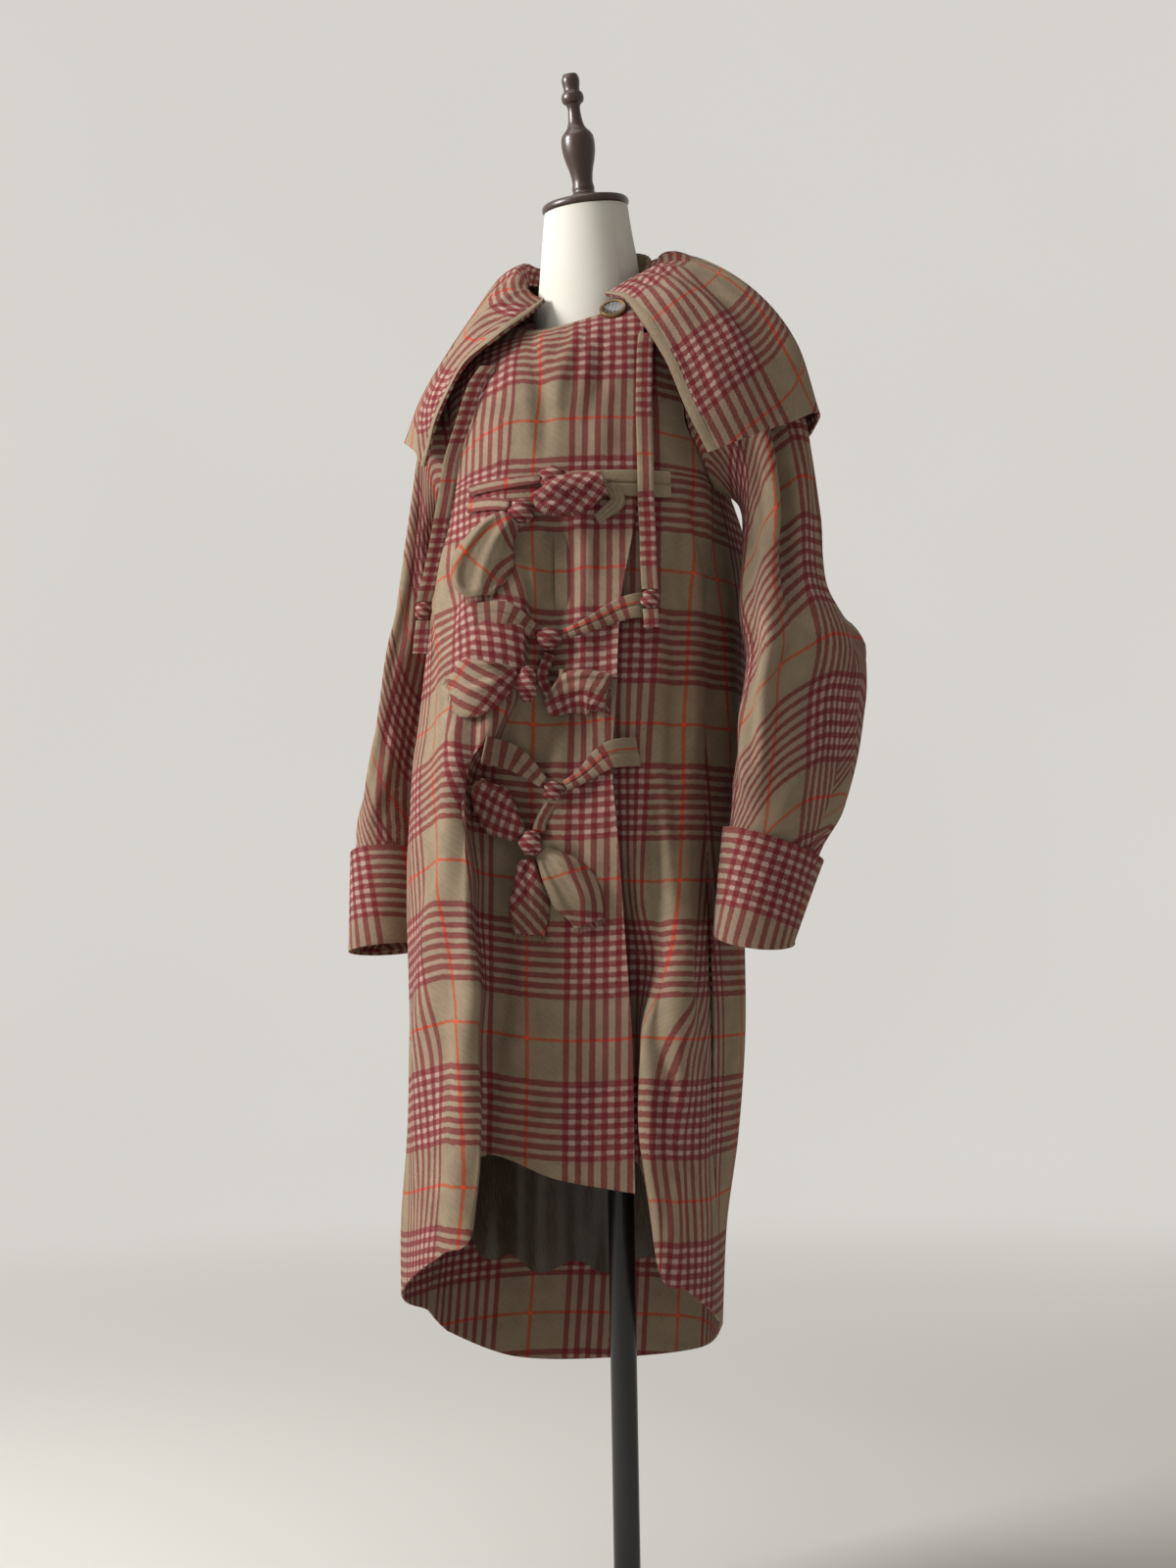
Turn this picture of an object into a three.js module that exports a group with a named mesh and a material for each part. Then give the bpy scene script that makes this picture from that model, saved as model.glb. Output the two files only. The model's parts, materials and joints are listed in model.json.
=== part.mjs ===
// A wool cocoon coat worn open at the hood by a limbless dress form on a pole.
// Millimetres, +Z up. The coat's wearer faces -Y and the wearer's left is +X.
// The pole's axis is X = Y = 0, and z = 0 is the underside of the round base.
import * as THREE from 'three';

// Driving dimensions.
const openingTurn = 30; // degrees that the front opening is turned to the wearer's left
const cloth = 2.2; // wall of the wool cloth
const seamGap = 0.35; // pieces lie this far apart at a seam
const chestHeight = 1300; // above it the coat closes in over the shoulders
const armpitHeight = 1235;
const poleRadius = 14.3;
const baseRadius = 170;
const baseThickness = 10;
const torsoBottom = 885;
const neck = { x: 0, y: -30, radius: 62, height: 1451, slope: 36 }; // the coat's neckline ring
const bandHeight = 21;

const colours = {
  wool: [0x8d5f4e, 0.95],
  taupe: [0x9a866c, 0.95],
  burgundy: [0x7d1f30, 0.95],
  lining: [0x4b3e30, 0.45],
  linen: [0xe8e4da, 0.9],
  wood: [0x3b2417, 0.35],
  black: [0x0b0b0c, 0.2],
  horn: [0x6a4630, 0.3],
};

// Plan sections of the coat body, from high to low. Each place is [across, forward] from the pole's
// axis, where forward is the way that the front opening faces.
const rightFrontSections = [
  {
    height: 1300, edge: [30, 146], middle: [-40, 150], corner: [-95, 143], inner: [-118, 133],
    crest: [-150, 100], flank: [-176, 30], seam: [-158, -40],
  },
  {
    height: 1200, edge: [26, 152], middle: [-40, 153], corner: [-98, 147], inner: [-122, 139],
    crest: [-158, 104], flank: [-187, 25], seam: [-166, -46],
  },
  {
    height: 1100, edge: [8, 166], middle: [-38, 158], corner: [-84, 152], inner: [-94, 168],
    crest: [-140, 164], flank: [-204, 25], seam: [-180, -56],
  },
  {
    height: 1000, edge: [1, 174], middle: [-45, 160], corner: [-98, 150], inner: [-106, 178],
    crest: [-155, 168], flank: [-213, 24], seam: [-188, -62],
  },
  {
    height: 930, edge: [-4, 176], middle: [-60, 158], corner: [-134, 146], inner: [-146, 186],
    crest: [-176, 168], flank: [-220, 22], seam: [-191, -65],
  },
  {
    height: 850, edge: [1, 170], middle: [-65, 155], corner: [-142, 142], inner: [-151, 192],
    crest: [-181, 174], flank: [-225, 20], seam: [-193, -68],
  },
  {
    height: 760, edge: [6, 164], middle: [-66, 150], corner: [-140, 140], inner: [-150, 197],
    crest: [-183, 178], flank: [-226, 20], seam: [-194, -70],
  },
  {
    height: 650, edge: [12, 160], middle: [-64, 148], corner: [-134, 140], inner: [-138, 204],
    crest: [-176, 188], flank: [-227, 20], seam: [-196, -72],
  },
  {
    height: 540, edge: [12, 160], middle: [-66, 150], corner: [-140, 142], inner: [-139, 204],
    crest: [-178, 186], flank: [-230, 18], seam: [-198, -74],
  },
  {
    height: 450, edge: [12, 160], middle: [-66, 150], corner: [-145, 150], inner: [-152, 196],
    crest: [-186, 172], flank: [-237, 12], seam: [-203, -74],
  },
  {
    height: 350, edge: [12, 160], middle: [-66, 150], corner: [-145, 150], inner: [-154, 190],
    crest: [-190, 164], flank: [-238, 0], seam: [-216, -62],
  },
];
const leftFrontSections = [
  {
    height: 1300, hidden: [-60, 141], tuck: [-10, 141], inner: [30, 139], crest: [62, 131],
    outer: [92, 115], seam: [110, 85],
  },
  {
    height: 1200, hidden: [-60, 144], tuck: [-10, 145], inner: [32, 143], crest: [70, 134],
    outer: [98, 112], seam: [110, 84],
  },
  {
    height: 1100, hidden: [-60, 146], tuck: [-10, 150], inner: [32, 150], crest: [62, 139],
    outer: [84, 122], seam: [98, 102],
  },
  {
    height: 1000, hidden: [-60, 146], tuck: [-15, 157], inner: [28, 157], crest: [60, 143],
    outer: [82, 126], seam: [95, 108],
  },
  {
    height: 900, hidden: [-60, 146], tuck: [-10, 152], inner: [30, 155], crest: [60, 147],
    outer: [82, 130], seam: [94, 110],
  },
  {
    height: 800, hidden: [-60, 138], tuck: [0, 142], inner: [32, 153], crest: [60, 156],
    outer: [84, 136], seam: [94, 110],
  },
  {
    height: 730, hidden: [-55, 132], tuck: [20, 135], inner: [41, 168], crest: [66, 166],
    outer: [87, 139], seam: [95, 110],
  },
  {
    height: 650, hidden: [-55, 130], tuck: [16, 134], inner: [25, 184], crest: [58, 180],
    outer: [86, 143], seam: [95, 110],
  },
  {
    height: 560, hidden: [-55, 130], tuck: [16, 134], inner: [19, 190], crest: [54, 186],
    outer: [84, 145], seam: [94, 110],
  },
  {
    height: 480, hidden: [-55, 130], tuck: [20, 134], inner: [33, 186], crest: [60, 176],
    outer: [86, 138], seam: [98, 104],
  },
  {
    height: 350, hidden: [-55, 130], tuck: [20, 134], inner: [35, 172], crest: [62, 156],
    outer: [88, 122], seam: [99, 90],
  },
];
const backSections = [
  {
    height: 1300, seamLeft: [110, 85], flankLeft: [123, 40], backLeft: [102, -35], middle: [35, -86],
    backRight: [-60, -98], flankRight: [-130, -72], seamRight: [-158, -40],
  },
  {
    height: 1200, seamLeft: [110, 84], flankLeft: [132, 40], backLeft: [150, -34], middle: [34, -96],
    backRight: [-66, -108], flankRight: [-140, -78], seamRight: [-166, -46],
  },
  {
    height: 1100, seamLeft: [98, 102], flankLeft: [132, 60], backLeft: [148, -38], middle: [30, -112],
    backRight: [-76, -122], flankRight: [-155, -90], seamRight: [-180, -56],
  },
  {
    height: 1000, seamLeft: [95, 108], flankLeft: [134, 52], backLeft: [140, -48], middle: [26, -124],
    backRight: [-84, -134], flankRight: [-164, -98], seamRight: [-188, -62],
  },
  {
    height: 900, seamLeft: [94, 110], flankLeft: [135, 48], backLeft: [132, -56], middle: [22, -134],
    backRight: [-90, -144], flankRight: [-170, -102], seamRight: [-192, -66],
  },
  {
    height: 750, seamLeft: [95, 110], flankLeft: [136, 45], backLeft: [122, -64], middle: [16, -140],
    backRight: [-96, -150], flankRight: [-174, -106], seamRight: [-194, -70],
  },
  {
    height: 650, seamLeft: [95, 110], flankLeft: [135, 42], backLeft: [118, -68], middle: [10, -144],
    backRight: [-100, -152], flankRight: [-176, -106], seamRight: [-196, -72],
  },
  {
    height: 540, seamLeft: [94, 109], flankLeft: [126, 34], backLeft: [110, -72], middle: [2, -146],
    backRight: [-108, -150], flankRight: [-180, -104], seamRight: [-198, -74],
  },
  {
    height: 450, seamLeft: [98, 102], flankLeft: [112, 36], backLeft: [99, -76], middle: [-6, -146],
    backRight: [-114, -148], flankRight: [-186, -100], seamRight: [-203, -74],
  },
  {
    height: 350, seamLeft: [99, 90], flankLeft: [105, 36], backLeft: [90, -80], middle: [-14, -141],
    backRight: [-120, -140], flankRight: [-194, -94], seamRight: [-216, -62],
  },
];

// Height of the hem under each named place, and how far the armhole cuts in from the side seam.
const rightFrontHem = { edge: 497, middle: 511, corner: 534, inner: 460, crest: 438, flank: 372, seam: 347 };
const leftFrontHem = { hidden: 528, tuck: 522, inner: 420, crest: 402, outer: 376, seam: 358 };
const backHem = {
  seamLeft: 358, flankLeft: 343, backLeft: 297, middle: 277, backRight: 281, flankRight: 318, seamRight: 347,
};
const armholeCut = { rightFront: 0.15, leftFront: 0.3, back: 0.13 };

// Levels of every body panel. Over the chest they are shares of the way from the neckline to the
// chest line, then heights down to the armpit, then shares of the fall from the armpit to the hem.
const shoulderShares = [0, 0.2, 0.4, 0.6, 0.75, 0.88, 1];
const shoulderPointRow = 3;
const armholeHeights = [1268, armpitHeight];
const armpitRow = shoulderShares.length + armholeHeights.length - 1;
const fallRows = 12;
const columnsPerSpan = 3;

// Sleeve rings, from the armhole to the wrist. outer and inner are [out, height] of the ring's outer
// and inner side, centre is its place along Y, half its half depth, rise lifts its front side.
const leftSleeveRings = [
  { outer: [174, 1418], inner: [142, 1232], centre: -10, half: 56, rise: 0 },
  { outer: [195, 1398], inner: [151, 1226], centre: 0, half: 56, rise: 0 },
  { outer: [211, 1366], inner: [160, 1214], centre: 10, half: 55, rise: 0 },
  { outer: [223, 1325], inner: [167, 1196], centre: 20, half: 54, rise: 0 },
  { outer: [230, 1270], inner: [171, 1172], centre: 24, half: 56, rise: 0 },
  { outer: [236, 1210], inner: [173, 1138], centre: 24, half: 62, rise: 0 },
  { outer: [243, 1130], inner: [168, 1086], centre: 24, half: 78, rise: 4 },
  { outer: [272, 1056], inner: [168, 1030], centre: 40, half: 114, rise: 8 },
  { outer: [266, 1000], inner: [166, 980], centre: 36, half: 120, rise: 10 },
  { outer: [262, 948], inner: [164, 934], centre: 22, half: 110, rise: 14 },
  { outer: [257, 894], inner: [163, 898], centre: 0, half: 92, rise: 16 },
  { outer: [246, 850], inner: [162, 868], centre: -20, half: 66, rise: 14 },
  { outer: [239, 818], inner: [158, 842], centre: -27, half: 60, rise: 10 },
  { outer: [224, 744], inner: [152, 764], centre: -46, half: 49, rise: -7 },
];
const rightSleeveRings = [
  { outer: [186, 1412], inner: [175, 1232], centre: -40, half: 54, rise: 0 },
  { outer: [199, 1392], inner: [181, 1226], centre: -36, half: 54, rise: 0 },
  { outer: [210, 1360], inner: [185, 1212], centre: -32, half: 53, rise: 0 },
  { outer: [219, 1320], inner: [188, 1192], centre: -28, half: 53, rise: 0 },
  { outer: [226, 1275], inner: [190, 1166], centre: -28, half: 55, rise: 0 },
  { outer: [236, 1210], inner: [193, 1130], centre: -28, half: 60, rise: 0 },
  { outer: [247, 1130], inner: [198, 1084], centre: -30, half: 68, rise: 4 },
  { outer: [260, 1050], inner: [203, 1034], centre: -28, half: 80, rise: 6 },
  { outer: [269, 1000], inner: [206, 984], centre: -28, half: 86, rise: 8 },
  { outer: [278, 950], inner: [207, 936], centre: -32, half: 86, rise: 10 },
  { outer: [285, 898], inner: [208, 890], centre: -42, half: 80, rise: 12 },
  { outer: [287, 856], inner: [207, 864], centre: -57, half: 66, rise: 12 },
  { outer: [287, 822], inner: [206, 836], centre: -66, half: 60, rise: 12 },
  { outer: [280, 744], inner: [208, 756], centre: -88, half: 49, rise: 2 },
];
const sleeveSides = 18;
// Where rows are taken along a sleeve, counted in rings from the armhole's rim, which is 0.
const sleeveStations = [
  0, 0.5, 1, 1.5, 2, 3, 4, 5, 6, 7, 7.5, 8, 8.5, 9, 9.5, 10, 10.5, 11, 12, 12.35, 13, 13.5, 14,
];
const armholeClearance = 0.5;
// Folds down the sleeves: place round the ring from its outer side, half width, depth in and extent.
const sleeveFolds = [
  { round: 0.13, width: 0.09, depth: 11, from: 0.3, to: 0.85 },
  { round: 0.87, width: 0.08, depth: 8, from: 0.35, to: 0.8 },
];
const cuffStation = 12.35;
const cuffDrop = 3;
const cuffWall = 3;
const cuffClearance = 0.45;
const cuffFlare = 3;
const bandEnd = 62;
const bandSteps = 36;
// The gathered casing round the neck: compass angles of its ends, height, waves and their depth.
const casingAngles = [75, 300];
const casingHeight = 44;
const casingWaves = 22;
const casingWave = 1.6;
const casingBulge = 2;
const casingSteps = 66;
const hoodWall = 3;
const hoodRows = 11;
const hoodColumnsPerSpan = 3;

// The hood worn open, as sections from the neck to the hem, each place [across, forward, height].
// They run from the front edge of the wearer's left flap, round the back, to the right flap's.
const hoodSections = [
  {
    name: 'left front edge', neck: [-2, 98, 1447], rise: [16, 124, 1434], crest: [34, 152, 1400],
    shoulder: [58, 168, 1352], skirt: [78, 170, 1300], hem: [101, 164, 1253],
  },
  {
    name: 'left chest', neck: [18, 92, 1462], rise: [38, 114, 1456], crest: [68, 144, 1432],
    shoulder: [96, 162, 1380], skirt: [122, 172, 1326], hem: [146, 162, 1271],
  },
  {
    name: 'left shoulder front', neck: [39, 72, 1480], rise: [54, 84, 1482], crest: [90, 108, 1466],
    shoulder: [136, 136, 1418], skirt: [168, 148, 1350], hem: [190, 144, 1290],
  },
  {
    name: 'left shoulder', neck: [55, 36, 1494], rise: [66, 38, 1512], crest: [102, 46, 1504],
    shoulder: [158, 80, 1456], skirt: [200, 110, 1386], hem: [224, 108, 1310],
  },
  {
    name: 'left back', neck: [52, -2, 1500], rise: [60, -10, 1526], crest: [88, -22, 1530],
    shoulder: [144, -16, 1476], skirt: [190, -4, 1385], hem: [206, 0, 1292],
  },
  {
    name: 'centre back', neck: [20, -36, 1502], rise: [26, -48, 1530], crest: [38, -72, 1538],
    shoulder: [58, -104, 1492], skirt: [70, -122, 1388], hem: [72, -126, 1262],
  },
  {
    name: 'right back', neck: [-44, -40, 1500], rise: [-50, -52, 1526], crest: [-64, -82, 1532],
    shoulder: [-104, -122, 1482], skirt: [-140, -148, 1392], hem: [-150, -152, 1286],
  },
  {
    name: 'right shoulder', neck: [-85, 8, 1490], rise: [-94, 2, 1516], crest: [-114, -18, 1512],
    shoulder: [-150, -46, 1472], skirt: [-206, -76, 1390], hem: [-230, -68, 1328],
  },
  {
    name: 'right chest', neck: [-81, 54, 1464], rise: [-94, 62, 1466], crest: [-122, 70, 1446],
    shoulder: [-160, 66, 1404], skirt: [-198, 52, 1348], hem: [-219, 14, 1300],
  },
  {
    name: 'right front edge', neck: [-68, 74, 1450], rise: [-80, 92, 1432], crest: [-112, 124, 1398],
    shoulder: [-152, 122, 1366], skirt: [-184, 84, 1322], hem: [-204, 34, 1277],
  },
];
const hoodPieces = [
  { name: 'hood_flap_left', first: 0, last: 3 },
  { name: 'hood_back', first: 3, last: 7 },
  { name: 'hood_flap_right', first: 7, last: 9 },
];

// The tie closures. Each stop is [across, height, lift off the front, half width, half thickness].
const tiePieces = [
  {
    name: 'tie1_tab_right_upper',
    stops: [[-150, 1228, 2, 6, 1.3], [-110, 1229, 2.5, 6, 1.4], [-74, 1230, 5, 5, 2]],
  },
  {
    name: 'tie1_tab_right_lower',
    stops: [[-151, 1211, 2, 7, 1.3], [-126, 1209, 2.5, 7, 1.4], [-106, 1204, 6, 6, 2]],
  },
  {
    name: 'tie1_tab_left',
    stops: [[63, 1226, 6, 14, 1.5], [20, 1225, 6, 14, 1.5], [-19, 1226, 8, 12, 2], [-43, 1231, 10, 6, 3]],
  },
  {
    name: 'tie1_leaf_lower',
    stops: [
      [-104, 1188, 17, 12, 6], [-122, 1168, 14, 24, 8], [-133, 1144, 13, 31, 8], [-138, 1120, 12, 28, 5],
      [-137, 1105, 11, 14, 3],
    ],
  },
  {
    name: 'tie1_leaf_upper',
    stops: [[-80, 1203, 22, 9, 6], [-60, 1206, 20, 19, 8], [-34, 1214, 16, 22, 7], [-8, 1222, 12, 12, 4]],
  },
  {
    name: 'tie1_curl',
    stops: [[-2, 1222, 12.5, 6, 2], [6, 1206, 14, 8, 3], [-4, 1194, 16, 7, 3], [-16, 1186, 13, 6, 2]],
  },
  {
    name: 'tie2_tab_right',
    stops: [[-143, 1086, 2, 12, 1.4], [-112, 1086, 3, 12, 1.5], [-80, 1068, 9, 7, 2.5]],
  },
  {
    name: 'tie2_tab_left',
    stops: [[42, 1097, 6, 13, 1.5], [10, 1090, 6, 12, 1.5], [-24, 1074, 9, 8, 2.5], [-50, 1064, 12, 5, 3]],
  },
  {
    name: 'tie2_loop',
    stops: [
      [-66, 1046, 15, 6, 2.5], [-74, 1024, 15, 6, 2], [-66, 1006, 15, 6, 2], [-54, 1008, 18, 6, 2],
      [-50, 1028, 20, 6, 2],
    ],
  },
  {
    name: 'tie2_leaf_left',
    stops: [[-99, 1020, 14, 9, 5], [-122, 1014, 12, 22, 8], [-148, 1006, 10, 30, 7], [-168, 1002, 8, 20, 3]],
  },
  {
    name: 'tie2_leaf_right',
    stops: [[-70, 988, 7, 8, 3], [-48, 1000, 6, 20, 5], [-28, 1005, 6, 24, 6], [-8, 1000, 6, 20, 3]],
  },
  {
    name: 'tie3_tab_right',
    stops: [[-133, 945, 4, 14, 1.4], [-104, 938, 5, 13, 1.5], [-74, 912, 10, 6, 2.5]],
  },
  {
    name: 'tie3_tab_left',
    stops: [[23, 943, 6, 15, 1.5], [-6, 938, 6, 14, 1.5], [-34, 918, 9, 8, 2.5], [-52, 908, 12, 5, 3]],
  },
  { name: 'tie3_loop', stops: [[-67, 891, 14, 6, 2.5], [-77, 874, 15, 6, 2], [-80, 862, 17, 7, 3]] },
  {
    name: 'tie3_leaf_upper',
    stops: [[-100, 858, 14, 9, 4], [-116, 876, 12, 20, 8], [-132, 898, 10, 20, 6], [-140, 912, 9, 8, 3]],
  },
  {
    name: 'tie3_leaf_lower',
    stops: [[-92, 834, 16, 9, 4], [-90, 810, 14, 17, 8], [-90, 782, 12, 21, 7], [-92, 758, 10, 16, 3]],
  },
  {
    name: 'tie3_leaf_right',
    stops: [[-76, 842, 18, 8, 4], [-60, 822, 16, 21, 8], [-40, 796, 13, 26, 7], [-30, 768, 11, 16, 3]],
  },
];
// Knots: across and height of the middle, lift off the front, then half width, depth and height.
const knots = [
  { name: 'tie1_knot', across: -59, height: 1231, lift: 13, half: [13, 9, 12] },
  { name: 'tie1_knot_lower', across: -92, height: 1196, lift: 17, half: [13, 10, 13] },
  { name: 'tie2_knot', across: -66, height: 1061, lift: 14, half: [13, 9, 12] },
  { name: 'tie2_knot_lower', across: -88, height: 1010, lift: 15, half: [10, 9, 19] },
  { name: 'tie3_knot', across: -63, height: 904, lift: 13, half: [10, 8, 10] },
  { name: 'tie3_knot_lower', across: -87, height: 850, lift: 16, half: [11, 9, 13] },
];

const tieOrder = [
  'tie1_tab_right_upper', 'tie1_tab_right_lower', 'tie1_tab_left', 'tie1_knot', 'tie1_leaf_lower',
  'tie1_leaf_upper', 'tie1_curl', 'tie1_knot_lower',
  'tie2_tab_right', 'tie2_tab_left', 'tie2_knot', 'tie2_loop', 'tie2_leaf_left', 'tie2_leaf_right',
  'tie2_knot_lower',
  'tie3_tab_right', 'tie3_tab_left', 'tie3_knot', 'tie3_loop', 'tie3_leaf_upper', 'tie3_leaf_lower',
  'tie3_leaf_right', 'tie3_knot_lower',
];
const tieStepsPerStop = 2;
const tieClearance = 0.75;
const tieLeastWall = 1.6;
const tieReach = 6;
const tieEdgeReach = 20;
const tieSides = 6;
const buttonPlace = { across: 9, height: 1411, lift: 0.8 };
const liningTop = 640;
const liningHemRise = 112;
const liningSag = 16;
const liningDepth = 9;
const liningSteps = 4;
const liningColumns = 32;
const liningClearance = 2;

// The two hanging drawstrings: [across, forward, height] points of their middle line.
const drawstringWidth = 17;
const drawstringThickness = 3;
const drawstrings = [
  {
    name: 'drawstring_left',
    path: [
      [40, 149.6, 1386], [38, 149.8, 1366], [37, 149.2, 1340], [36, 149.4, 1310], [36, 151.2, 1280],
      [36, 156.4, 1250], [36, 159, 1236], [36, 159.4, 1215], [36, 160, 1200], [37, 162, 1170],
      [37, 164, 1140], [38, 170.3, 1109.3],
    ],
    knot: [38, 170.9, 1099],
    tail: [[38, 170.9, 1088.8], [39, 170.5, 1080], [39, 169.5, 1070]],
  },
  {
    name: 'drawstring_right',
    path: [
      [-128, 121.6, 1362], [-140, 119.8, 1345], [-148, 116.6, 1325], [-158, 105, 1300], [-170, 88, 1270],
      [-176, 80, 1240], [-182, 75.8, 1210], [-188, 71.6, 1180], [-195, 67, 1150], [-203, 62, 1120.5],
    ],
    knot: [-204, 62, 1110],
    tail: [[-204, 62, 1099.8], [-206, 65.5, 1080], [-207, 72.5, 1062]],
  },
];

// Rings of the dress form's body, from high to low: centre along Y, half width and half depth.
const torsoRings = [
  { height: 1300, y: -32, halfWidth: 116, halfDepth: 88 },
  { height: 1240, y: -34, halfWidth: 116, halfDepth: 90 },
  { height: 1150, y: -32, halfWidth: 108, halfDepth: 84 },
  { height: 1060, y: -30, halfWidth: 100, halfDepth: 78 },
  { height: 980, y: -28, halfWidth: 112, halfDepth: 88 },
  { height: torsoBottom, y: -28, halfWidth: 122, halfDepth: 96 },
];
const formNeck = [
  { height: 1494, y: -32, radius: 53 },
  { height: 1532, y: -37, radius: 49 },
  { height: 1565, y: -42, radius: 46.5 },
];

const formSides = 24;
const neckTilt = 10; // the neck's top is this much lower in front than at its middle
const formShoulderShares = [0, 0.2, 0.4, 0.6, 0.8, 1];
const neckRoom = 10;
const seatShrink = 5;
const seatDrop = 3.4;
// The turned cap and finial: radius and height above the neck, from the underside up.
const capProfile = [
  [0, 0], [46, 0], [48.5, 2], [48.5, 6], [46, 9], [20, 13], [17, 16], [12.5, 19], [12.5, 24], [11.5, 30],
  [13, 42], [16.5, 55], [18.5, 66], [18.5, 76], [17, 82], [10.5, 90], [8, 98], [7.5, 114], [11.5, 118],
  [12.5, 122], [11.5, 127], [9, 130], [10, 142], [8, 148], [0, 150],
];

// Smooth curve through points, without overshoot where they lie unevenly.
const smoothCurve = (points) => new THREE.CatmullRomCurve3(points, false, 'centripetal');
const radians = (degrees) => THREE.MathUtils.degToRad(degrees);
const turnCos = Math.cos(radians(openingTurn));
const turnSin = Math.sin(radians(openingTurn));

// A point given across and forward of the turned front opening.
function place(across, forward, height) {
  return new THREE.Vector3(
    across * turnCos + forward * turnSin,
    across * turnSin - forward * turnCos,
    height,
  );
}

// Smooth value at x through pairs of x and y, with the slope at each from its two neighbours.
function smoothThrough(xs, ys, x) {
  const last = xs.length - 1;
  const rising = xs[last] > xs[0];
  let i = 0;
  while (i < last - 1 && (rising ? x > xs[i + 1] : x < xs[i + 1])) i += 1;
  const slope = (k) => {
    const before = Math.max(k - 1, 0);
    const after = Math.min(k + 1, last);
    return (ys[after] - ys[before]) / (xs[after] - xs[before]);
  };
  const step = xs[i + 1] - xs[i];
  const t = (x - xs[i]) / step;
  if (t < 0) return ys[i] + slope(i) * (x - xs[i]);
  if (t > 1) return ys[i + 1] + slope(i + 1) * (x - xs[i + 1]);
  const t2 = t * t;
  const t3 = t2 * t;
  return (2 * t3 - 3 * t2 + 1) * ys[i] + (t3 - 2 * t2 + t) * step * slope(i)
    + (3 * t2 - 2 * t3) * ys[i + 1] + (t3 - t2) * step * slope(i + 1);
}

// Unit normals of a grid of points. beyond(i, end) may give the next piece's point past a side.
function gridNormals(rows, closedRound, beyond) {
  const last = rows[0].length - 1;
  const at = (i, j) => {
    const k = Math.min(Math.max(i, 0), rows.length - 1);
    if (closedRound) return rows[k][(j + last + 1) % (last + 1)];
    if (j < 0) return (beyond && beyond(k, 'start')) || rows[k][0];
    if (j > last) return (beyond && beyond(k, 'end')) || rows[k][last];
    return rows[k][j];
  };
  return rows.map((row, i) => row.map((point, j) => {
    const along = at(i + 1, j).clone().sub(at(i - 1, j));
    const round = at(i, j + 1).clone().sub(at(i, j - 1));
    return along.cross(round).normalize();
  }));
}

// Closed solid of a sheet: rows of points on its outer skin, moved in by the wall for the inner skin.
function sheetSolid(rows, wall, insidePoint, { closedRound = false, beyond = null } = {}) {
  const rowCount = rows.length;
  const columnCount = rows[0].length;
  const normals = gridNormals(rows, closedRound, beyond);
  const middleRow = Math.floor(rowCount / 2);
  const middleColumn = Math.floor(columnCount / 2);
  const outward = rows[middleRow][middleColumn].clone().sub(insidePoint);
  const sign = normals[middleRow][middleColumn].dot(outward) > 0 ? 1 : -1;
  const positions = [];
  rows.forEach((row) => row.forEach((point) => positions.push(point.x, point.y, point.z)));
  rows.forEach((row, i) => row.forEach((point, j) => {
    const inner = point.clone().addScaledVector(normals[i][j], -sign * wall);
    positions.push(inner.x, inner.y, inner.z);
  }));
  const shift = rowCount * columnCount;
  const index = (i, j) => i * columnCount + ((j + columnCount) % columnCount);
  const faces = [];
  const quad = (a, b, c, d) => faces.push(a, b, c, a, c, d);
  const spans = closedRound ? columnCount : columnCount - 1;
  for (let i = 0; i < rowCount - 1; i += 1) {
    for (let j = 0; j < spans; j += 1) {
      const a = index(i, j);
      const b = index(i + 1, j);
      const c = index(i + 1, j + 1);
      const d = index(i, j + 1);
      quad(a, b, c, d);
      quad(a + shift, d + shift, c + shift, b + shift);
    }
    if (!closedRound) {
      const a = index(i, 0);
      const b = index(i + 1, 0);
      quad(a, a + shift, b + shift, b);
      const c = index(i, columnCount - 1);
      const d = index(i + 1, columnCount - 1);
      quad(c, d, d + shift, c + shift);
    }
  }
  for (let j = 0; j < spans; j += 1) {
    const a = index(0, j);
    const b = index(0, j + 1);
    quad(a, b, b + shift, a + shift);
    const c = index(rowCount - 1, j);
    const d = index(rowCount - 1, j + 1);
    quad(c, c + shift, d + shift, d);
  }
  return solidFrom(positions, faces);
}

// Closed solid of rings of points, with a flat fan over the first and the last.
function ringSolid(rings) {
  const count = rings[0].length;
  const positions = [];
  const faces = [];
  rings.forEach((ring) => ring.forEach((point) => positions.push(point.x, point.y, point.z)));
  rings.slice(1).forEach((ring, i) => {
    for (let j = 0; j < count; j += 1) {
      const next = (j + 1) % count;
      const [a, b] = [i * count + j, i * count + next];
      faces.push(a, b, b + count, a, b + count, a + count);
    }
  });
  const ends = [[rings[0], 0, false], [rings[rings.length - 1], (rings.length - 1) * count, true]];
  ends.forEach(([ring, start, far]) => {
    const middle = ring.reduce((sum, point) => sum.add(point), new THREE.Vector3()).divideScalar(count);
    const centre = positions.length / 3;
    positions.push(middle.x, middle.y, middle.z);
    for (let j = 0; j < count; j += 1) {
      const next = (j + 1) % count;
      if (far) faces.push(centre, start + j, start + next);
      else faces.push(centre, start + next, start + j);
    }
  });
  return solidFrom(positions, faces);
}

// Geometry whose faces point out: all faces are turned round when the enclosed volume is negative.
function solidFrom(positions, faces) {
  const corner = (k) => new THREE.Vector3().fromArray(positions, faces[k] * 3);
  let volume = 0;
  for (let k = 0; k < faces.length; k += 3) {
    volume += corner(k).dot(corner(k + 1).cross(corner(k + 2)));
  }
  const geometry = new THREE.BufferGeometry();
  geometry.setAttribute('position', new THREE.Float32BufferAttribute(positions, 3));
  geometry.setIndex(volume > 0 ? faces : faces.slice().reverse());
  return geometry;
}

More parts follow.
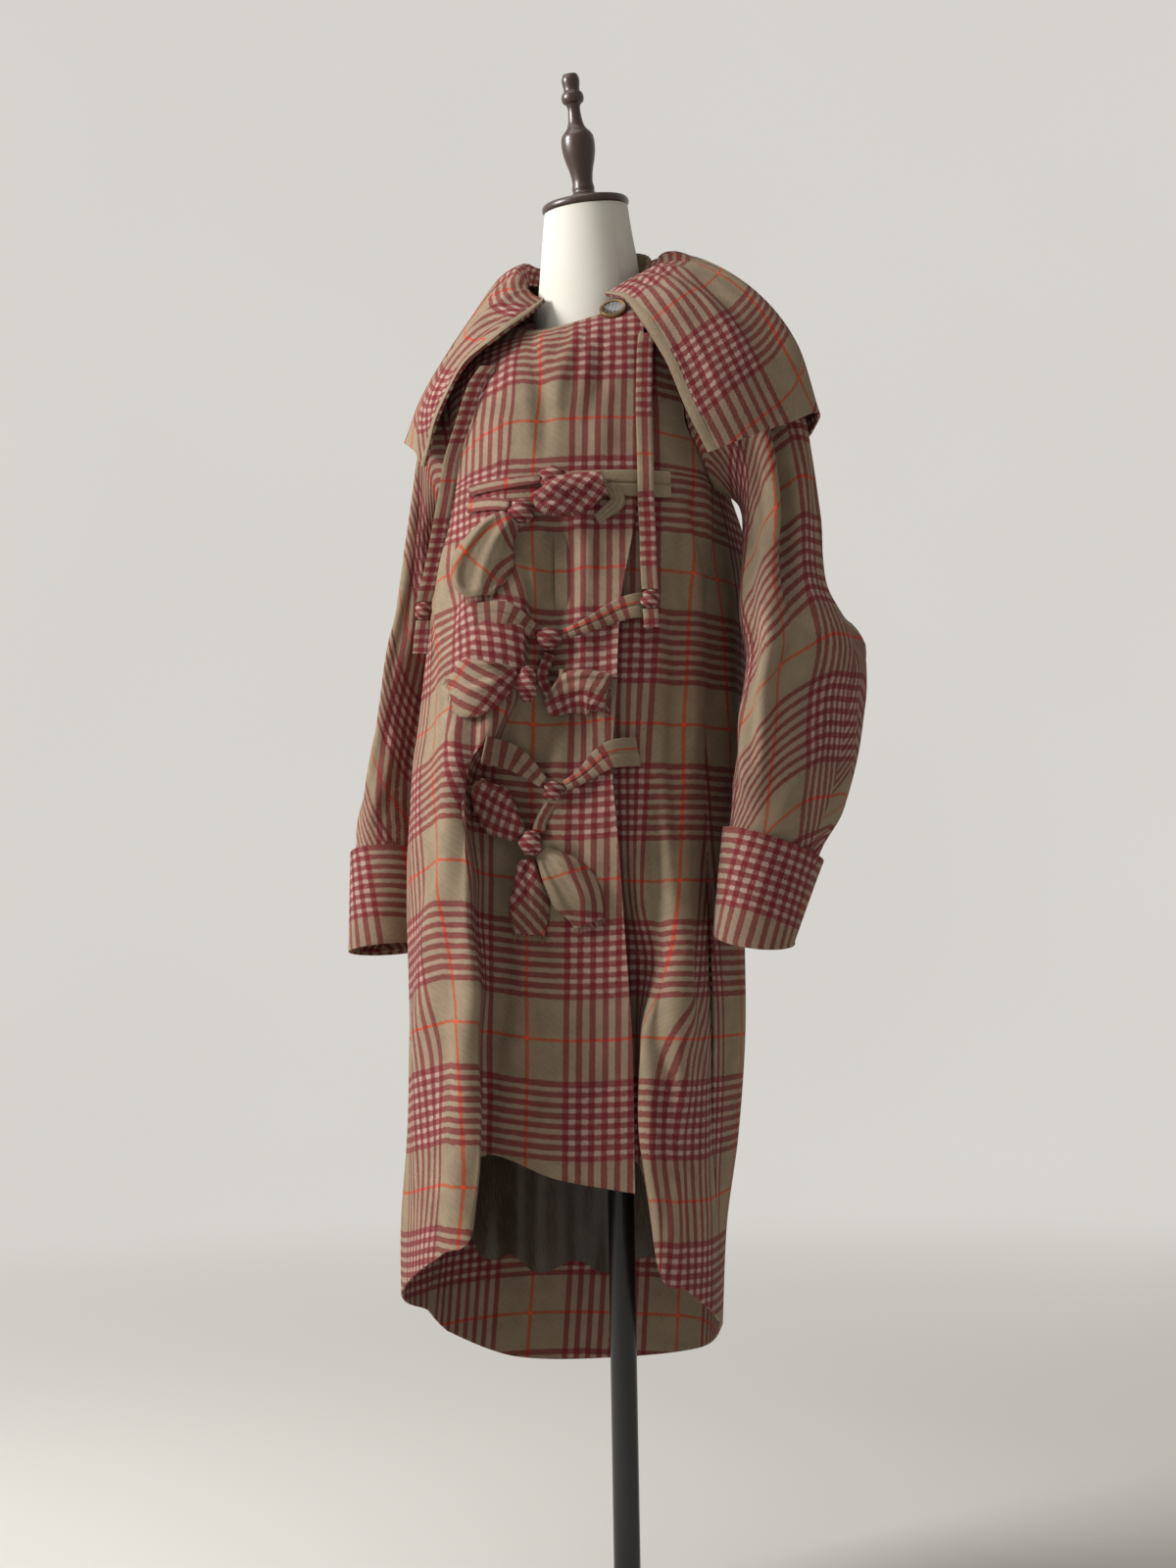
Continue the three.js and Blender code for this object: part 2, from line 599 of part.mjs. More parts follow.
const group = new THREE.Group();
function add(name, geometry, finish) {
  const [color, roughness] = colours[finish];
  const material = new THREE.MeshStandardMaterial({ color, roughness, metalness: 0 });
  const mesh = new THREE.Mesh(geometry, material);
  mesh.name = name;
  group.add(mesh);
  return mesh;
}

// The neckline ring at a compass angle: 0 is the wearer's front, 90 the wearer's left.
function necklineAt(angle, moveOut = 0, raise = 0) {
  const radius = neck.radius + moveOut;
  return new THREE.Vector3(
    neck.x + radius * Math.sin(radians(angle)),
    neck.y - radius * Math.cos(radians(angle)),
    neck.height - neck.slope * Math.cos(radians(angle)) + raise,
  );
}

// One body panel: its sections, the neckline angles of its two sides and its hem.
const panels = {
  rightFront: {
    sections: rightFrontSections, hem: rightFrontHem, angles: [62, -90], cutEnd: armholeCut.rightFront,
  },
  leftFront: {
    sections: leftFrontSections, hem: leftFrontHem, angles: [2, 90], cutEnd: armholeCut.leftFront, tucked: 10,
  },
  back: {
    sections: backSections,
    hem: backHem,
    angles: [90, 270],
    cutStart: armholeCut.back,
    cutEnd: armholeCut.back,
  },
};

// The panel's place at a share of the way across it and a height.
function sectionPoint(panel, share, height) {
  const names = Object.keys(panel.hem);
  const heights = panel.sections.map((section) => section.height);
  const places = names.map((name) => [0, 1].map((axis) => (
    smoothThrough(heights, panel.sections.map((section) => section[name][axis]), height)
  )));
  const curve = smoothCurve(places.map(([x, y]) => new THREE.Vector3(x, y, 0)));
  const point = curve.getPoint(share);
  return place(point.x, point.y, height);
}

// Over the shoulders the panel bends in to the neckline, squarer at the sides than in front.
function shoulderPoint(panel, share, fall) {
  const angle = THREE.MathUtils.lerp(panel.angles[0], panel.angles[1], share);
  const hiddenPart = panel.tucked ? 1 - THREE.MathUtils.smoothstep(angle, 64, 78) : 0;
  const top = necklineAt(angle, hiddenPart ? -panel.tucked * hiddenPart : 0);
  const chest = sectionPoint(panel, share, chestHeight);
  const side = Math.sin(radians(angle)) ** 2;
  const out = Math.sin(fall * Math.PI / 2) ** (1 - 0.45 * side);
  const down = Math.max(Math.cos(fall * Math.PI / 2), 0) ** (1 - 0.5 * side);
  const point = top.clone().lerp(chest, out);
  point.z = chest.z + (top.z - chest.z) * down;
  point.x += (Math.sin(radians(angle)) > 0 ? 20 : -8) * side ** 2 * Math.sin(fall * Math.PI) ** 2;
  return point;
}

function hemHeight(panel, share) {
  const heights = Object.values(panel.hem);
  return smoothThrough(heights.map((_, i) => i / (heights.length - 1)), heights, share);
}

// Rows of points of a panel, from the neckline to the hem, with the armhole cut out of its sides.
function panelRows(panel) {
  const spans = Object.keys(panel.hem).length - 1;
  const columns = spans * columnsPerSpan;
  const rowTotal = armpitRow + fallRows + 1;
  const rows = [];
  for (let i = 0; i < rowTotal; i += 1) {
    const opening = THREE.MathUtils.clamp((i - shoulderPointRow) / (armpitRow - shoulderPointRow), 0, 1);
    const bite = Math.sin(Math.PI * opening) ** 0.7;
    const start = (panel.cutStart || 0) * bite;
    const end = 1 - (panel.cutEnd || 0) * bite;
    const row = [];
    for (let j = 0; j <= columns; j += 1) {
      const share = THREE.MathUtils.lerp(start, end, j / columns);
      let point;
      if (i < shoulderShares.length) {
        point = shoulderPoint(panel, share, shoulderShares[i]);
      } else if (i <= armpitRow) {
        point = sectionPoint(panel, share, armholeHeights[i - shoulderShares.length]);
      } else {
        const fall = (i - armpitRow) / fallRows;
        point = sectionPoint(panel, share, THREE.MathUtils.lerp(armpitHeight, hemHeight(panel, share), fall));
      }
      row.push(point);
    }
    rows.push(row);
  }
  return rows;
}

// Moves the outermost columns of a panel in along it by half the seam gap.
function withSeamGap(rows, atStart, atEnd) {
  return rows.map((row) => row.map((point, j) => {
    if (j === 0 && atStart) return point.clone().add(row[1].clone().sub(point).setLength(seamGap / 2));
    if (j === row.length - 1 && atEnd) {
      return point.clone().add(row[j - 1].clone().sub(point).setLength(seamGap / 2));
    }
    return point;
  }));
}

const rightFrontRows = panelRows(panels.rightFront);
const leftFrontRows = panelRows(panels.leftFront);
const backRows = panelRows(panels.back);
const bodyMiddle = place(-45, 30, 900);

// Where a side seam is closed, the two pieces share its line, and the normals run on over it, so
// their walls meet squarely.
const seamClosed = (i) => i <= shoulderPointRow || i >= armpitRow;
const past = (rows, i, column) => (seamClosed(i) ? rows[i][column] : null);
const backLast = backRows[0].length - 1;
const frontLast = (rows) => rows[0].length - 1;
backRows.forEach((row, i) => {
  if (!seamClosed(i)) return;
  leftFrontRows[i][frontLast(leftFrontRows)] = row[0].clone();
  rightFrontRows[i][frontLast(rightFrontRows)] = row[backLast].clone();
});
add('coat_front_right', sheetSolid(withSeamGap(rightFrontRows, false, true), cloth, bodyMiddle, {
  beyond: (i, end) => (end === 'end' ? past(backRows, i, backLast - 1) : null),
}), 'wool');
add('coat_front_left', sheetSolid(withSeamGap(leftFrontRows, false, true), cloth, bodyMiddle, {
  beyond: (i, end) => (end === 'end' ? past(backRows, i, 1) : null),
}), 'wool');
add('coat_back', sheetSolid(withSeamGap(backRows, true, true), cloth, bodyMiddle, {
  beyond: (i, end) => (end === 'start' ? past(leftFrontRows, i, frontLast(leftFrontRows) - 1)
    : past(rightFrontRows, i, frontLast(rightFrontRows) - 1)),
}), 'wool');

// Points evenly spaced along straight stretches between the given points, both ends included.
function spacedAlong(points, count) {
  const path = new THREE.CurvePath();
  points.slice(1).forEach((point, i) => path.add(new THREE.LineCurve3(points[i], point)));
  return Array.from({ length: count + 1 }, (_, i) => path.getPoint(i / count));
}

// The rim of an armhole: the front panel's side from the shoulder down, then the back's side up.
function armholeLoop(frontRows, backColumn, count) {
  const rim = [];
  for (let i = shoulderPointRow; i <= armpitRow; i += 1) rim.push(frontRows[i][frontRows[i].length - 1]);
  const rise = [];
  for (let i = armpitRow; i >= shoulderPointRow; i -= 1) {
    rise.push(backRows[i][backColumn < 0 ? backRows[i].length - 1 : backColumn]);
  }
  const half = count / 2;
  const front = spacedAlong(rim, half);
  const back = spacedAlong(rise, half);
  const loop = [...front.slice(0, half), ...back.slice(0, half)];
  const middle = loop.reduce((sum, point) => sum.add(point), new THREE.Vector3()).divideScalar(count);
  return loop.map((point) => point.clone().add(middle.clone().sub(point).setLength(armholeClearance)));
}

// A sleeve ring: it starts at the outer or top side and goes round by the front.
function sleeveRing(ring, side, count) {
  const points = [];
  for (let j = 0; j < count; j += 1) {
    const angle = (j / count) * Math.PI * 2;
    const share = (1 + Math.cos(angle)) / 2;
    const reach = THREE.MathUtils.lerp(ring.inner[0], ring.outer[0], share);
    const height = THREE.MathUtils.lerp(ring.inner[1], ring.outer[1], share) + ring.rise * Math.sin(angle);
    points.push(new THREE.Vector3(side * reach, ring.centre - ring.half * Math.sin(angle), height));
  }
  return points;
}

// A sleeve: its first ring is the armhole's rim, and soft folds run down its front.
function sleeveRows(rings, side, loop) {
  const count = loop.length;
  const stations = [loop, ...rings.map((ring) => sleeveRing(ring, side, count))];
  const curves = loop.map((_, j) => smoothCurve(stations.map((ring) => ring[j])));
  return sleeveStations.map((station) => {
    const share = station / rings.length;
    const ring = curves.map((curve) => curve.getPoint(share));
    const middle = ring.reduce((sum, point) => sum.add(point), new THREE.Vector3()).divideScalar(count);
    return ring.map((point, j) => {
      const inward = middle.clone().sub(point);
      inward.z = 0;
      const depth = sleeveFolds.reduce((sum, fold) => {
        const gone = THREE.MathUtils.smoothstep(Math.abs(j / count - fold.round), 0, fold.width);
        const start = THREE.MathUtils.smoothstep(share, fold.from, fold.from + 0.15);
        const end = 1 - THREE.MathUtils.smoothstep(share, fold.to - 0.15, fold.to);
        return sum + fold.depth * (1 - gone) * start * end;
      }, 0);
      return inward.length() > 1 && depth > 0 ? point.clone().add(inward.setLength(depth)) : point;
    });
  });
}

// The turned-back cuff: the sleeve's own lowest rows moved out, flared a little at its upper edge.
function cuffRows(sleeve) {
  const normals = gridNormals(sleeve, true);
  const first = sleeveStations.indexOf(cuffStation);
  const rows = sleeve.slice(first).map((row, i, lower) => row.map((point, j) => {
    const middle = row.reduce((sum, each) => sum.add(each), new THREE.Vector3()).divideScalar(row.length);
    const normal = normals[first + i][j].clone();
    if (normal.dot(point.clone().sub(middle)) < 0) normal.negate();
    const flare = cuffFlare * (1 - i / (lower.length - 1));
    return point.clone().addScaledVector(normal, cuffClearance + cuffWall + flare);
  }));
  const lowest = rows[rows.length - 1];
  rows.push(lowest.map((point) => point.clone().setZ(point.z - cuffDrop)));
  return rows;
}

const sleeveKinds = [
  { name: 'left', rings: leftSleeveRings, side: 1, frontRows: leftFrontRows, backColumn: 0 },
  { name: 'right', rings: rightSleeveRings, side: -1, frontRows: rightFrontRows, backColumn: -1 },
];
sleeveKinds.forEach(({ name, rings, side, frontRows, backColumn }) => {
  const loop = armholeLoop(frontRows, backColumn, sleeveSides);
  const rows = sleeveRows(rings, side, loop);
  const insideOf = (ring) => new THREE.Vector3(
    side * (ring.outer[0] + ring.inner[0]) / 2,
    ring.centre,
    (ring.outer[1] + ring.inner[1]) / 2,
  );
  add(`sleeve_${name}`, sheetSolid(rows, cloth, insideOf(rings[6]), { closedRound: true }), 'wool');
  const wrist = insideOf(rings[rings.length - 1]);
  add(`cuff_${name}`, sheetSolid(cuffRows(rows), cuffWall, wrist, { closedRound: true }), 'wool');
});

// The neckband stands on the neckline, open where the right front laps over at the wearer's left.
const bandRows = [0, 1].map((share) => {
  const row = [];
  for (let j = 0; j <= bandSteps; j += 1) {
    const angle = THREE.MathUtils.lerp(bandEnd - 360 + 3, bandEnd, j / bandSteps);
    row.push(necklineAt(angle, -3 * share, seamGap + bandHeight * share));
  }
  return row;
});
add('neckband', sheetSolid(bandRows, cloth, new THREE.Vector3(neck.x, neck.y, neck.height)), 'taupe');

// The gathered casing that stands inside the hood, round the back of the neck, in small waves.
const casingRows = [0, 0.5, 1].map((share) => {
  const row = [];
  for (let j = 0; j <= casingSteps; j += 1) {
    const along = j / casingSteps;
    const angle = THREE.MathUtils.lerp(casingAngles[0], casingAngles[1], along);
    const wave = casingWave * Math.sin(along * casingWaves * Math.PI * 2) * (0.5 + 0.5 * share);
    const tall = casingHeight * (0.15 + 0.85 * Math.sin(Math.PI * along) ** 0.45);
    const bulge = casingBulge * Math.sin(Math.PI * share);
    row.push(necklineAt(angle, seamGap + cloth - 0.4 + bulge * 0.5 + wave * share, 6 + tall * share));
  }
  return row;
});
add('hood_casing', sheetSolid(casingRows, cloth, new THREE.Vector3(neck.x, neck.y, 1480)), 'taupe');

// The hood: smooth surface through its sections, split into the two flaps and the back.
const hoodPlaces = ['neck', 'rise', 'crest', 'shoulder', 'skirt', 'hem'];
const hoodCurves = hoodSections.map((section) => (
  smoothCurve(hoodPlaces.map((name) => place(...section[name])))
));
const hoodGrid = Array.from({ length: hoodRows + 1 }, (_, i) => {
  const round = smoothCurve(hoodCurves.map((curve) => curve.getPoint(i / hoodRows)));
  const steps = (hoodSections.length - 1) * hoodColumnsPerSpan;
  return Array.from({ length: steps + 1 }, (__, j) => round.getPoint(j / steps));
});
hoodPieces.forEach(({ name, first, last }) => {
  const [from, to] = [first * hoodColumnsPerSpan, last * hoodColumnsPerSpan];
  const rows = hoodGrid.map((row) => row.slice(from, to + 1));
  const [joinsStart, joinsEnd] = [first > 0, last < hoodSections.length - 1];
  const beyond = (i, end) => (end === 'start' ? hoodGrid[i][from - 1] : hoodGrid[i][to + 1]) || null;
  const inside = new THREE.Vector3(neck.x, neck.y, 1330);
  add(name, sheetSolid(withSeamGap(rows, joinsStart, joinsEnd), hoodWall, inside, { beyond }), 'wool');
});

// How far forward the coat's front reaches at a place across and a height, over both fronts.
const toFront = (point) => [
  point.x * turnCos + point.y * turnSin,
  point.x * turnSin - point.y * turnCos,
  point.z,
];
const frontFaces = [rightFrontRows, leftFrontRows].flatMap((rows) => rows.slice(1).flatMap((row, i) => (
  row.slice(1).flatMap((_, j) => {
    const [a, b, c, d] = [rows[i][j], rows[i][j + 1], rows[i + 1][j + 1], rows[i + 1][j]].map(toFront);
    return [[a, b, c], [a, c, d]];
  })
)));
function forwardOn(a, b, c, across, height) {
  const area = (b[0] - a[0]) * (c[2] - a[2]) - (c[0] - a[0]) * (b[2] - a[2]);
  if (Math.abs(area) < 1e-6) return null;
  const s = ((across - a[0]) * (c[2] - a[2]) - (c[0] - a[0]) * (height - a[2])) / area;
  const t = ((b[0] - a[0]) * (height - a[2]) - (across - a[0]) * (b[2] - a[2])) / area;
  if (s < -1e-9 || t < -1e-9 || s + t > 1 + 1e-9) return null;
  return a[1] + s * (b[1] - a[1]) + t * (c[1] - a[1]);
}
function frontAt(across, height) {
  let best = -Infinity;
  frontFaces.forEach(([a, b, c]) => {
    const forward = forwardOn(a, b, c, across, height);
    if (forward !== null) best = Math.max(best, forward);
  });
  return best;
}
function onFront(across, height, lift) {
  return place(across, frontAt(across, height) + lift, height);
}

// The front-most place within reach on both sides, so that a soft piece bridges an edge or a fold.
function frontNear(across, height, reach) {
  const steps = Array.from({ length: 2 * reach + 1 }, (_, i) => i - reach);
  return Math.max(...steps.map((step) => frontAt(across + step, height)));
}

// A flat soft piece through its stops: each ring is an oval across its run, and what would sink into
// the front is laid on it instead.
function tieSolid(stops, reach = tieReach) {
  const middles = stops.map(([across, height, lift, , thick]) => onFront(across, height, lift + thick));
  const path = smoothCurve(middles);
  const steps = (stops.length - 1) * tieStepsPerStop;
  const facing = place(0, 1, 0);
  const rings = [];
  for (let i = 0; i <= steps; i += 1) {
    const at = i / steps;
    const run = path.getTangent(at);
    const acrossRun = run.clone().cross(facing).normalize();
    const up = acrossRun.clone().cross(run).normalize();
    if (up.dot(facing) < 0) up.negate();
    const from = Math.min(Math.floor(at * (stops.length - 1)), stops.length - 2);
    const part = THREE.MathUtils.smoothstep(at * (stops.length - 1) - from, 0, 1);
    const half = THREE.MathUtils.lerp(stops[from][3], stops[from + 1][3], part);
    const thick = THREE.MathUtils.lerp(stops[from][4], stops[from + 1][4], part);
    const ring = [];
    for (let j = 0; j < tieSides; j += 1) {
      const angle = ((j + 0.5) / tieSides) * Math.PI * 2;
      const point = path.getPoint(at)
        .addScaledVector(acrossRun, half * Math.cos(angle))
        .addScaledVector(up, thick * Math.sin(angle));
      const [across, forward, height] = toFront(point);
      const least = frontNear(across, height, reach) + tieClearance + (angle < Math.PI ? tieLeastWall : 0);
      ring.push(place(across, Math.max(forward, least), height));
    }
    rings.push(ring);
  }
  return ringSolid(rings);
}

// Triangles of a geometry as [across, forward, height] corners.
function facesOf(geometry) {
  const position = geometry.attributes.position;
  const index = geometry.index ? Array.from(geometry.index.array) : Array.from(position.array.keys());
  const corners = index.slice(0, geometry.index ? index.length : position.count)
    .map((k) => toFront(new THREE.Vector3().fromBufferAttribute(position, k)));
  return Array.from({ length: corners.length / 3 }, (_, k) => corners.slice(3 * k, 3 * k + 3));
}

// Points spread evenly over a triangle.
const spreadCount = 5;
const spreadShares = Array.from({ length: spreadCount + 1 }, (_, i) => (
  Array.from({ length: spreadCount + 1 - i }, (__, j) => [i / spreadCount, j / spreadCount])
)).flat();
function spreadOver([a, b, c]) {
  return spreadShares.map(([s, t]) => a.map((value, k) => value + s * (b[k] - value) + t * (c[k] - value)));
}

// Moves a piece along the way the front faces until it lies just clear of what is behind it, then
// counts it as part of the front for the pieces that come after it.
function seatOnFront(geometry) {
  const faces = facesOf(geometry);
  let room = Infinity;
  faces.flatMap(spreadOver).forEach((point) => {
    room = Math.min(room, point[1] - frontAt(point[0], point[2]));
  });
  const nearest = (list, across, height) => {
    let least = Infinity;
    list.forEach(([a, b, c]) => {
      const forward = forwardOn(a, b, c, across, height);
      if (forward !== null) least = Math.min(least, forward);
    });
    return least;
  };
  const lows = faces.flat();
  const [left, right] = [Math.min(...lows.map((p) => p[0])), Math.max(...lows.map((p) => p[0]))];
  const [low, high] = [Math.min(...lows.map((p) => p[2])), Math.max(...lows.map((p) => p[2]))];
  frontFaces.flatMap(spreadOver).forEach(([across, forward, height]) => {
    if (across < left || across > right || height < low || height > high) return;
    room = Math.min(room, nearest(faces, across, height) - forward);
  });
  const shift = place(0, tieClearance - room, 0);
  geometry.translate(shift.x, shift.y, shift.z);
  frontFaces.push(...facesOf(geometry));
  return geometry;
}

// A knot is a lump pinched by the turns of its cloth.
function knotSolid({ across, height, half }) {
  const geometry = new THREE.SphereGeometry(1, 9, 6);
  const position = geometry.attributes.position;
  for (let i = 0; i < position.count; i += 1) {
    const point = new THREE.Vector3().fromBufferAttribute(position, i);
    const pinch = 1 - 0.12 * Math.cos(3 * Math.atan2(point.y, point.x)) * (1 - point.z ** 2);
    point.multiplyScalar(pinch);
    position.setXYZ(i, point.x * half[0], point.y * half[2], point.z * half[1]);
  }
  const turn = new THREE.Matrix4().makeBasis(place(1, 0, 0), new THREE.Vector3(0, 0, 1), place(0, 1, 0));
  geometry.applyMatrix4(turn);
  const middle = onFront(across, height, half[1]);
  geometry.translate(middle.x, middle.y, middle.z);
  return geometry;
}

// The pieces of each tie lie on the front and on each other in the order in which they are listed.
tieOrder.forEach((name) => {
  const piece = tiePieces.find((each) => each.name === name);
  const knot = knots.find((each) => each.name === name);
  const finish = name.includes('tab') ? 'taupe' : 'wool';
  const reach = name.endsWith('tab_left') ? tieEdgeReach : tieReach;
  if (piece) add(name, seatOnFront(tieSolid(piece.stops, reach)), finish);
  else add(name, seatOnFront(knotSolid(knot)), 'burgundy');
});

// The button: a rimmed disc with a dished middle, on the neck end of the right front.
const buttonProfile = [
  [0, 0], [12.5, 0], [14.6, 1.2], [15, 3], [14, 4.6], [12, 4.8], [10.6, 3.4], [5, 2.8], [0, 2.8],
].map(([radius, height]) => new THREE.Vector2(radius, height));
const buttonDisc = new THREE.LatheGeometry(buttonProfile, 24);
const around = [[-6, 0], [6, 0], [0, -6], [0, 6]].map(([across, up]) => (
  onFront(buttonPlace.across + across, buttonPlace.height + up, 0)
));
const buttonFacing = around[1].clone().sub(around[0]).cross(around[3].clone().sub(around[2])).normalize();
if (buttonFacing.dot(place(0, 1, 0)) < 0) buttonFacing.negate();
buttonDisc.applyQuaternion(new THREE.Quaternion().setFromUnitVectors(new THREE.Vector3(0, 1, 0), buttonFacing));
const buttonSeat = onFront(buttonPlace.across, buttonPlace.height, 0).addScaledVector(buttonFacing, buttonPlace.lift);
buttonDisc.translate(buttonSeat.x, buttonSeat.y, buttonSeat.z);
add('button', seatOnFront(buttonDisc), 'horn');

// The drawstrings: a flat section swept down its path, a knot and a short frayed tail.
function flatSection() {
  const shape = new THREE.Shape();
  const sectionAt = (angle) => {
    const across = (drawstringWidth / 2) * Math.cos(angle);
    const through = (drawstringThickness / 2) * Math.sin(angle);
    return [across * turnCos - through * turnSin, across * turnSin + through * turnCos];
  };
  for (let j = 0; j < 8; j += 1) {
    const [x, y] = sectionAt(((j + 0.5) / 8) * Math.PI * 2);
    if (j === 0) shape.moveTo(x, y);
    else shape.lineTo(x, y);
  }
  return shape;
}
const swept = (points, steps) => new THREE.ExtrudeGeometry(flatSection(), {
  steps,
  extrudePath: smoothCurve(points.map((point) => place(...point))),
});
drawstrings.forEach(({ name, path, knot, tail }) => {
  add(name, swept(path, 16), 'burgundy');
  const lump = add(`${name}_knot`, new THREE.SphereGeometry(1, 10, 8), 'burgundy');
  lump.scale.set(9, 8, 10);
  lump.position.copy(place(...knot));
  add(`${name}_tail`, swept(tail, 3), 'burgundy');
});

// The satin lining shows inside the open hem, behind the back's plaid facing.
const liningRows = [];
for (let i = 0; i <= liningSteps; i += 1) {
  const row = [];
  for (let j = 0; j <= liningColumns; j += 1) {
    const share = (1 + j / 2) / backLast;
    const sag = liningSag * Math.sin((j / liningColumns) * Math.PI * 7) ** 2;
    const bottom = hemHeight(panels.back, share) + liningHemRise - sag;
    const height = THREE.MathUtils.lerp(liningTop, bottom, i / liningSteps);
    const wall = sectionPoint(panels.back, share, height);
    const before = sectionPoint(panels.back, share - 0.01, height);
    const onward = sectionPoint(panels.back, share + 0.01, height).sub(before);
    const inward = new THREE.Vector3(onward.y, -onward.x, 0).normalize();
    if (inward.dot(bodyMiddle.clone().sub(wall)) < 0) inward.negate();
    const depth = cloth + liningClearance + liningDepth * (i / liningSteps) ** 0.8;
    row.push(wall.clone().addScaledVector(inward, depth));
  }
  liningRows.push(row);
}
add('lining_back', sheetSolid(liningRows, 1, bodyMiddle), 'lining');

// The dress form: body with its neck, turned wooden cap, pole and base.
const formAngle = (j) => (j / formSides) * 360;
const formRings = [];
formNeck.slice().reverse().forEach(({ height, y, radius }) => {
  formRings.push(Array.from({ length: formSides }, (_, j) => new THREE.Vector3(
    radius * Math.sin(radians(formAngle(j))),
    y - radius * Math.cos(radians(formAngle(j))),
    height - neckTilt * Math.cos(radians(formAngle(j))),
  )));
});
// The form's neck is slimmer than the neckband, and in front the lapped fronts need more room.
const frontRoom = (angle) => 9 * Math.max(Math.cos(radians(angle - 25)), 0) ** 0.5;
formRings.push(Array.from({ length: formSides }, (_, j) => necklineAt(formAngle(j), -neckRoom, 6)));
const chestRing = torsoRings[0];
const torsoPoint = (ring, angle) => new THREE.Vector3(
  neck.x + ring.halfWidth * Math.sin(radians(angle)),
  ring.y - ring.halfDepth * Math.cos(radians(angle)),
  ring.height,
);
formShoulderShares.forEach((fall) => {
  formRings.push(Array.from({ length: formSides }, (_, j) => {
    const angle = formAngle(j);
    const side = Math.sin(radians(angle)) ** 2;
    const top = necklineAt(angle, -seatShrink - frontRoom(angle), -seatDrop);
    const chest = torsoPoint(chestRing, angle);
    const out = Math.sin(fall * Math.PI / 2) ** (1 - 0.45 * side);
    const down = Math.max(Math.cos(fall * Math.PI / 2), 0) ** (1 - 0.45 * side);
    const point = top.clone().lerp(chest, out);
    point.z = chest.z + (top.z - chest.z) * down;
    return point;
  }));
});
torsoRings.slice(1).forEach((ring) => {
  formRings.push(Array.from({ length: formSides }, (_, j) => torsoPoint(ring, formAngle(j))));
});
add('form_torso', ringSolid(formRings), 'linen');

const turned = (profile, sides) => (
  new THREE.LatheGeometry(profile.map(([radius, height]) => new THREE.Vector2(radius, height)), sides)
);
const cap = turned(capProfile, 18);
cap.rotateX(Math.PI / 2);
const capMesh = add('form_neck_cap', cap, 'wood');
const capLean = Math.atan(neckTilt / formNeck[2].radius);
capMesh.position.set(0, formNeck[2].y, formNeck[2].height + seamGap);
capMesh.rotation.x = capLean;

const poleLength = torsoBottom - baseThickness - 2 * seamGap;
const pole = new THREE.CylinderGeometry(poleRadius, poleRadius, poleLength, 20);
pole.rotateX(Math.PI / 2);
add('form_pole', pole, 'black').position.z = (torsoBottom + baseThickness) / 2;
const baseProfile = [
  [0, 0], [baseRadius - 2, 0], [baseRadius, 2], [baseRadius, baseThickness - 3],
  [baseRadius - 4, baseThickness - 0.5], [60, baseThickness], [0, baseThickness],
];
const base = turned(baseProfile, 36);
base.rotateX(Math.PI / 2);
add('form_base', base, 'black');

export default group;
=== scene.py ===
# %% [markdown]
# # A check wool cocoon coat on a dress form
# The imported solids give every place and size. Cloth is what this object is about, so each panel is
# made again here as a thin wall from the same measures as its solid, with many more points, and then
# the creases are laid on it. First come the frame and its box.

# %% Load the frame
import bpy
import json
import math
import numpy as np
from mathutils import Matrix, Vector
from mathutils.bvhtree import BVHTree

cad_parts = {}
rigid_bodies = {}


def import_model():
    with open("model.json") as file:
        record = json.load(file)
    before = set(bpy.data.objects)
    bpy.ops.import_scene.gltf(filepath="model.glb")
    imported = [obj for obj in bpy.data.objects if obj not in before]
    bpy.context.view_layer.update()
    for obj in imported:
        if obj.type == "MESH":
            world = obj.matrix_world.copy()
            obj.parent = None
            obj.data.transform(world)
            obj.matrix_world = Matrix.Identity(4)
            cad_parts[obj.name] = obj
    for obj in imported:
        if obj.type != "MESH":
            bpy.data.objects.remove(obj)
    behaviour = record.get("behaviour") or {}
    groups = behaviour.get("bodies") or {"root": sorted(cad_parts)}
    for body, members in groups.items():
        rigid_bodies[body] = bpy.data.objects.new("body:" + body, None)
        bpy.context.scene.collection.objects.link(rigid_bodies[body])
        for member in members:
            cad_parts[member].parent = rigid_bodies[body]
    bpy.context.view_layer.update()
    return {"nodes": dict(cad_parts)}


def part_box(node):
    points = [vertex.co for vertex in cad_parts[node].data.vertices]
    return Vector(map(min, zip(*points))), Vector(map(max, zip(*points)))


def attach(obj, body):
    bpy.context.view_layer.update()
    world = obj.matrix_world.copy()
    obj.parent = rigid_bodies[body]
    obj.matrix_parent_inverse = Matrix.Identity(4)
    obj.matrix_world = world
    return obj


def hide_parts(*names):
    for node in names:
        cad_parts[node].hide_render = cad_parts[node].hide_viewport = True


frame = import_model()
scene = bpy.context.scene
MM = 0.001
print("frame loaded:", len(frame["nodes"]), "nodes")

# %% [markdown]
# The camera stands at the height of the skirt, in front of the wearer's left side, and looks a little
# up. It is turned from its three axes, because a small roll belongs to the picture.

# %% Camera
VIEW_TURN, VIEW_RISE, VIEW_ROLL = map(math.radians, (30.0, 5.2, 0.9))
CAMERA_AT = (1.0351, -1.8503, 0.7321)
FOCAL_PIXELS, PICTURE_HEIGHT, SENSOR_HEIGHT = 1964.0, 1600.0, 36.0


def camera_axes(turn, rise, roll):
    ahead = np.array([-math.sin(turn) * math.cos(rise), math.cos(turn) * math.cos(rise), math.sin(rise)])
    level = np.array([math.cos(turn), math.sin(turn), 0.0])
    top = np.cross(level, ahead)
    right = level * math.cos(roll) - top * math.sin(roll)
    up = level * math.sin(roll) + top * math.cos(roll)
    return right, up, ahead


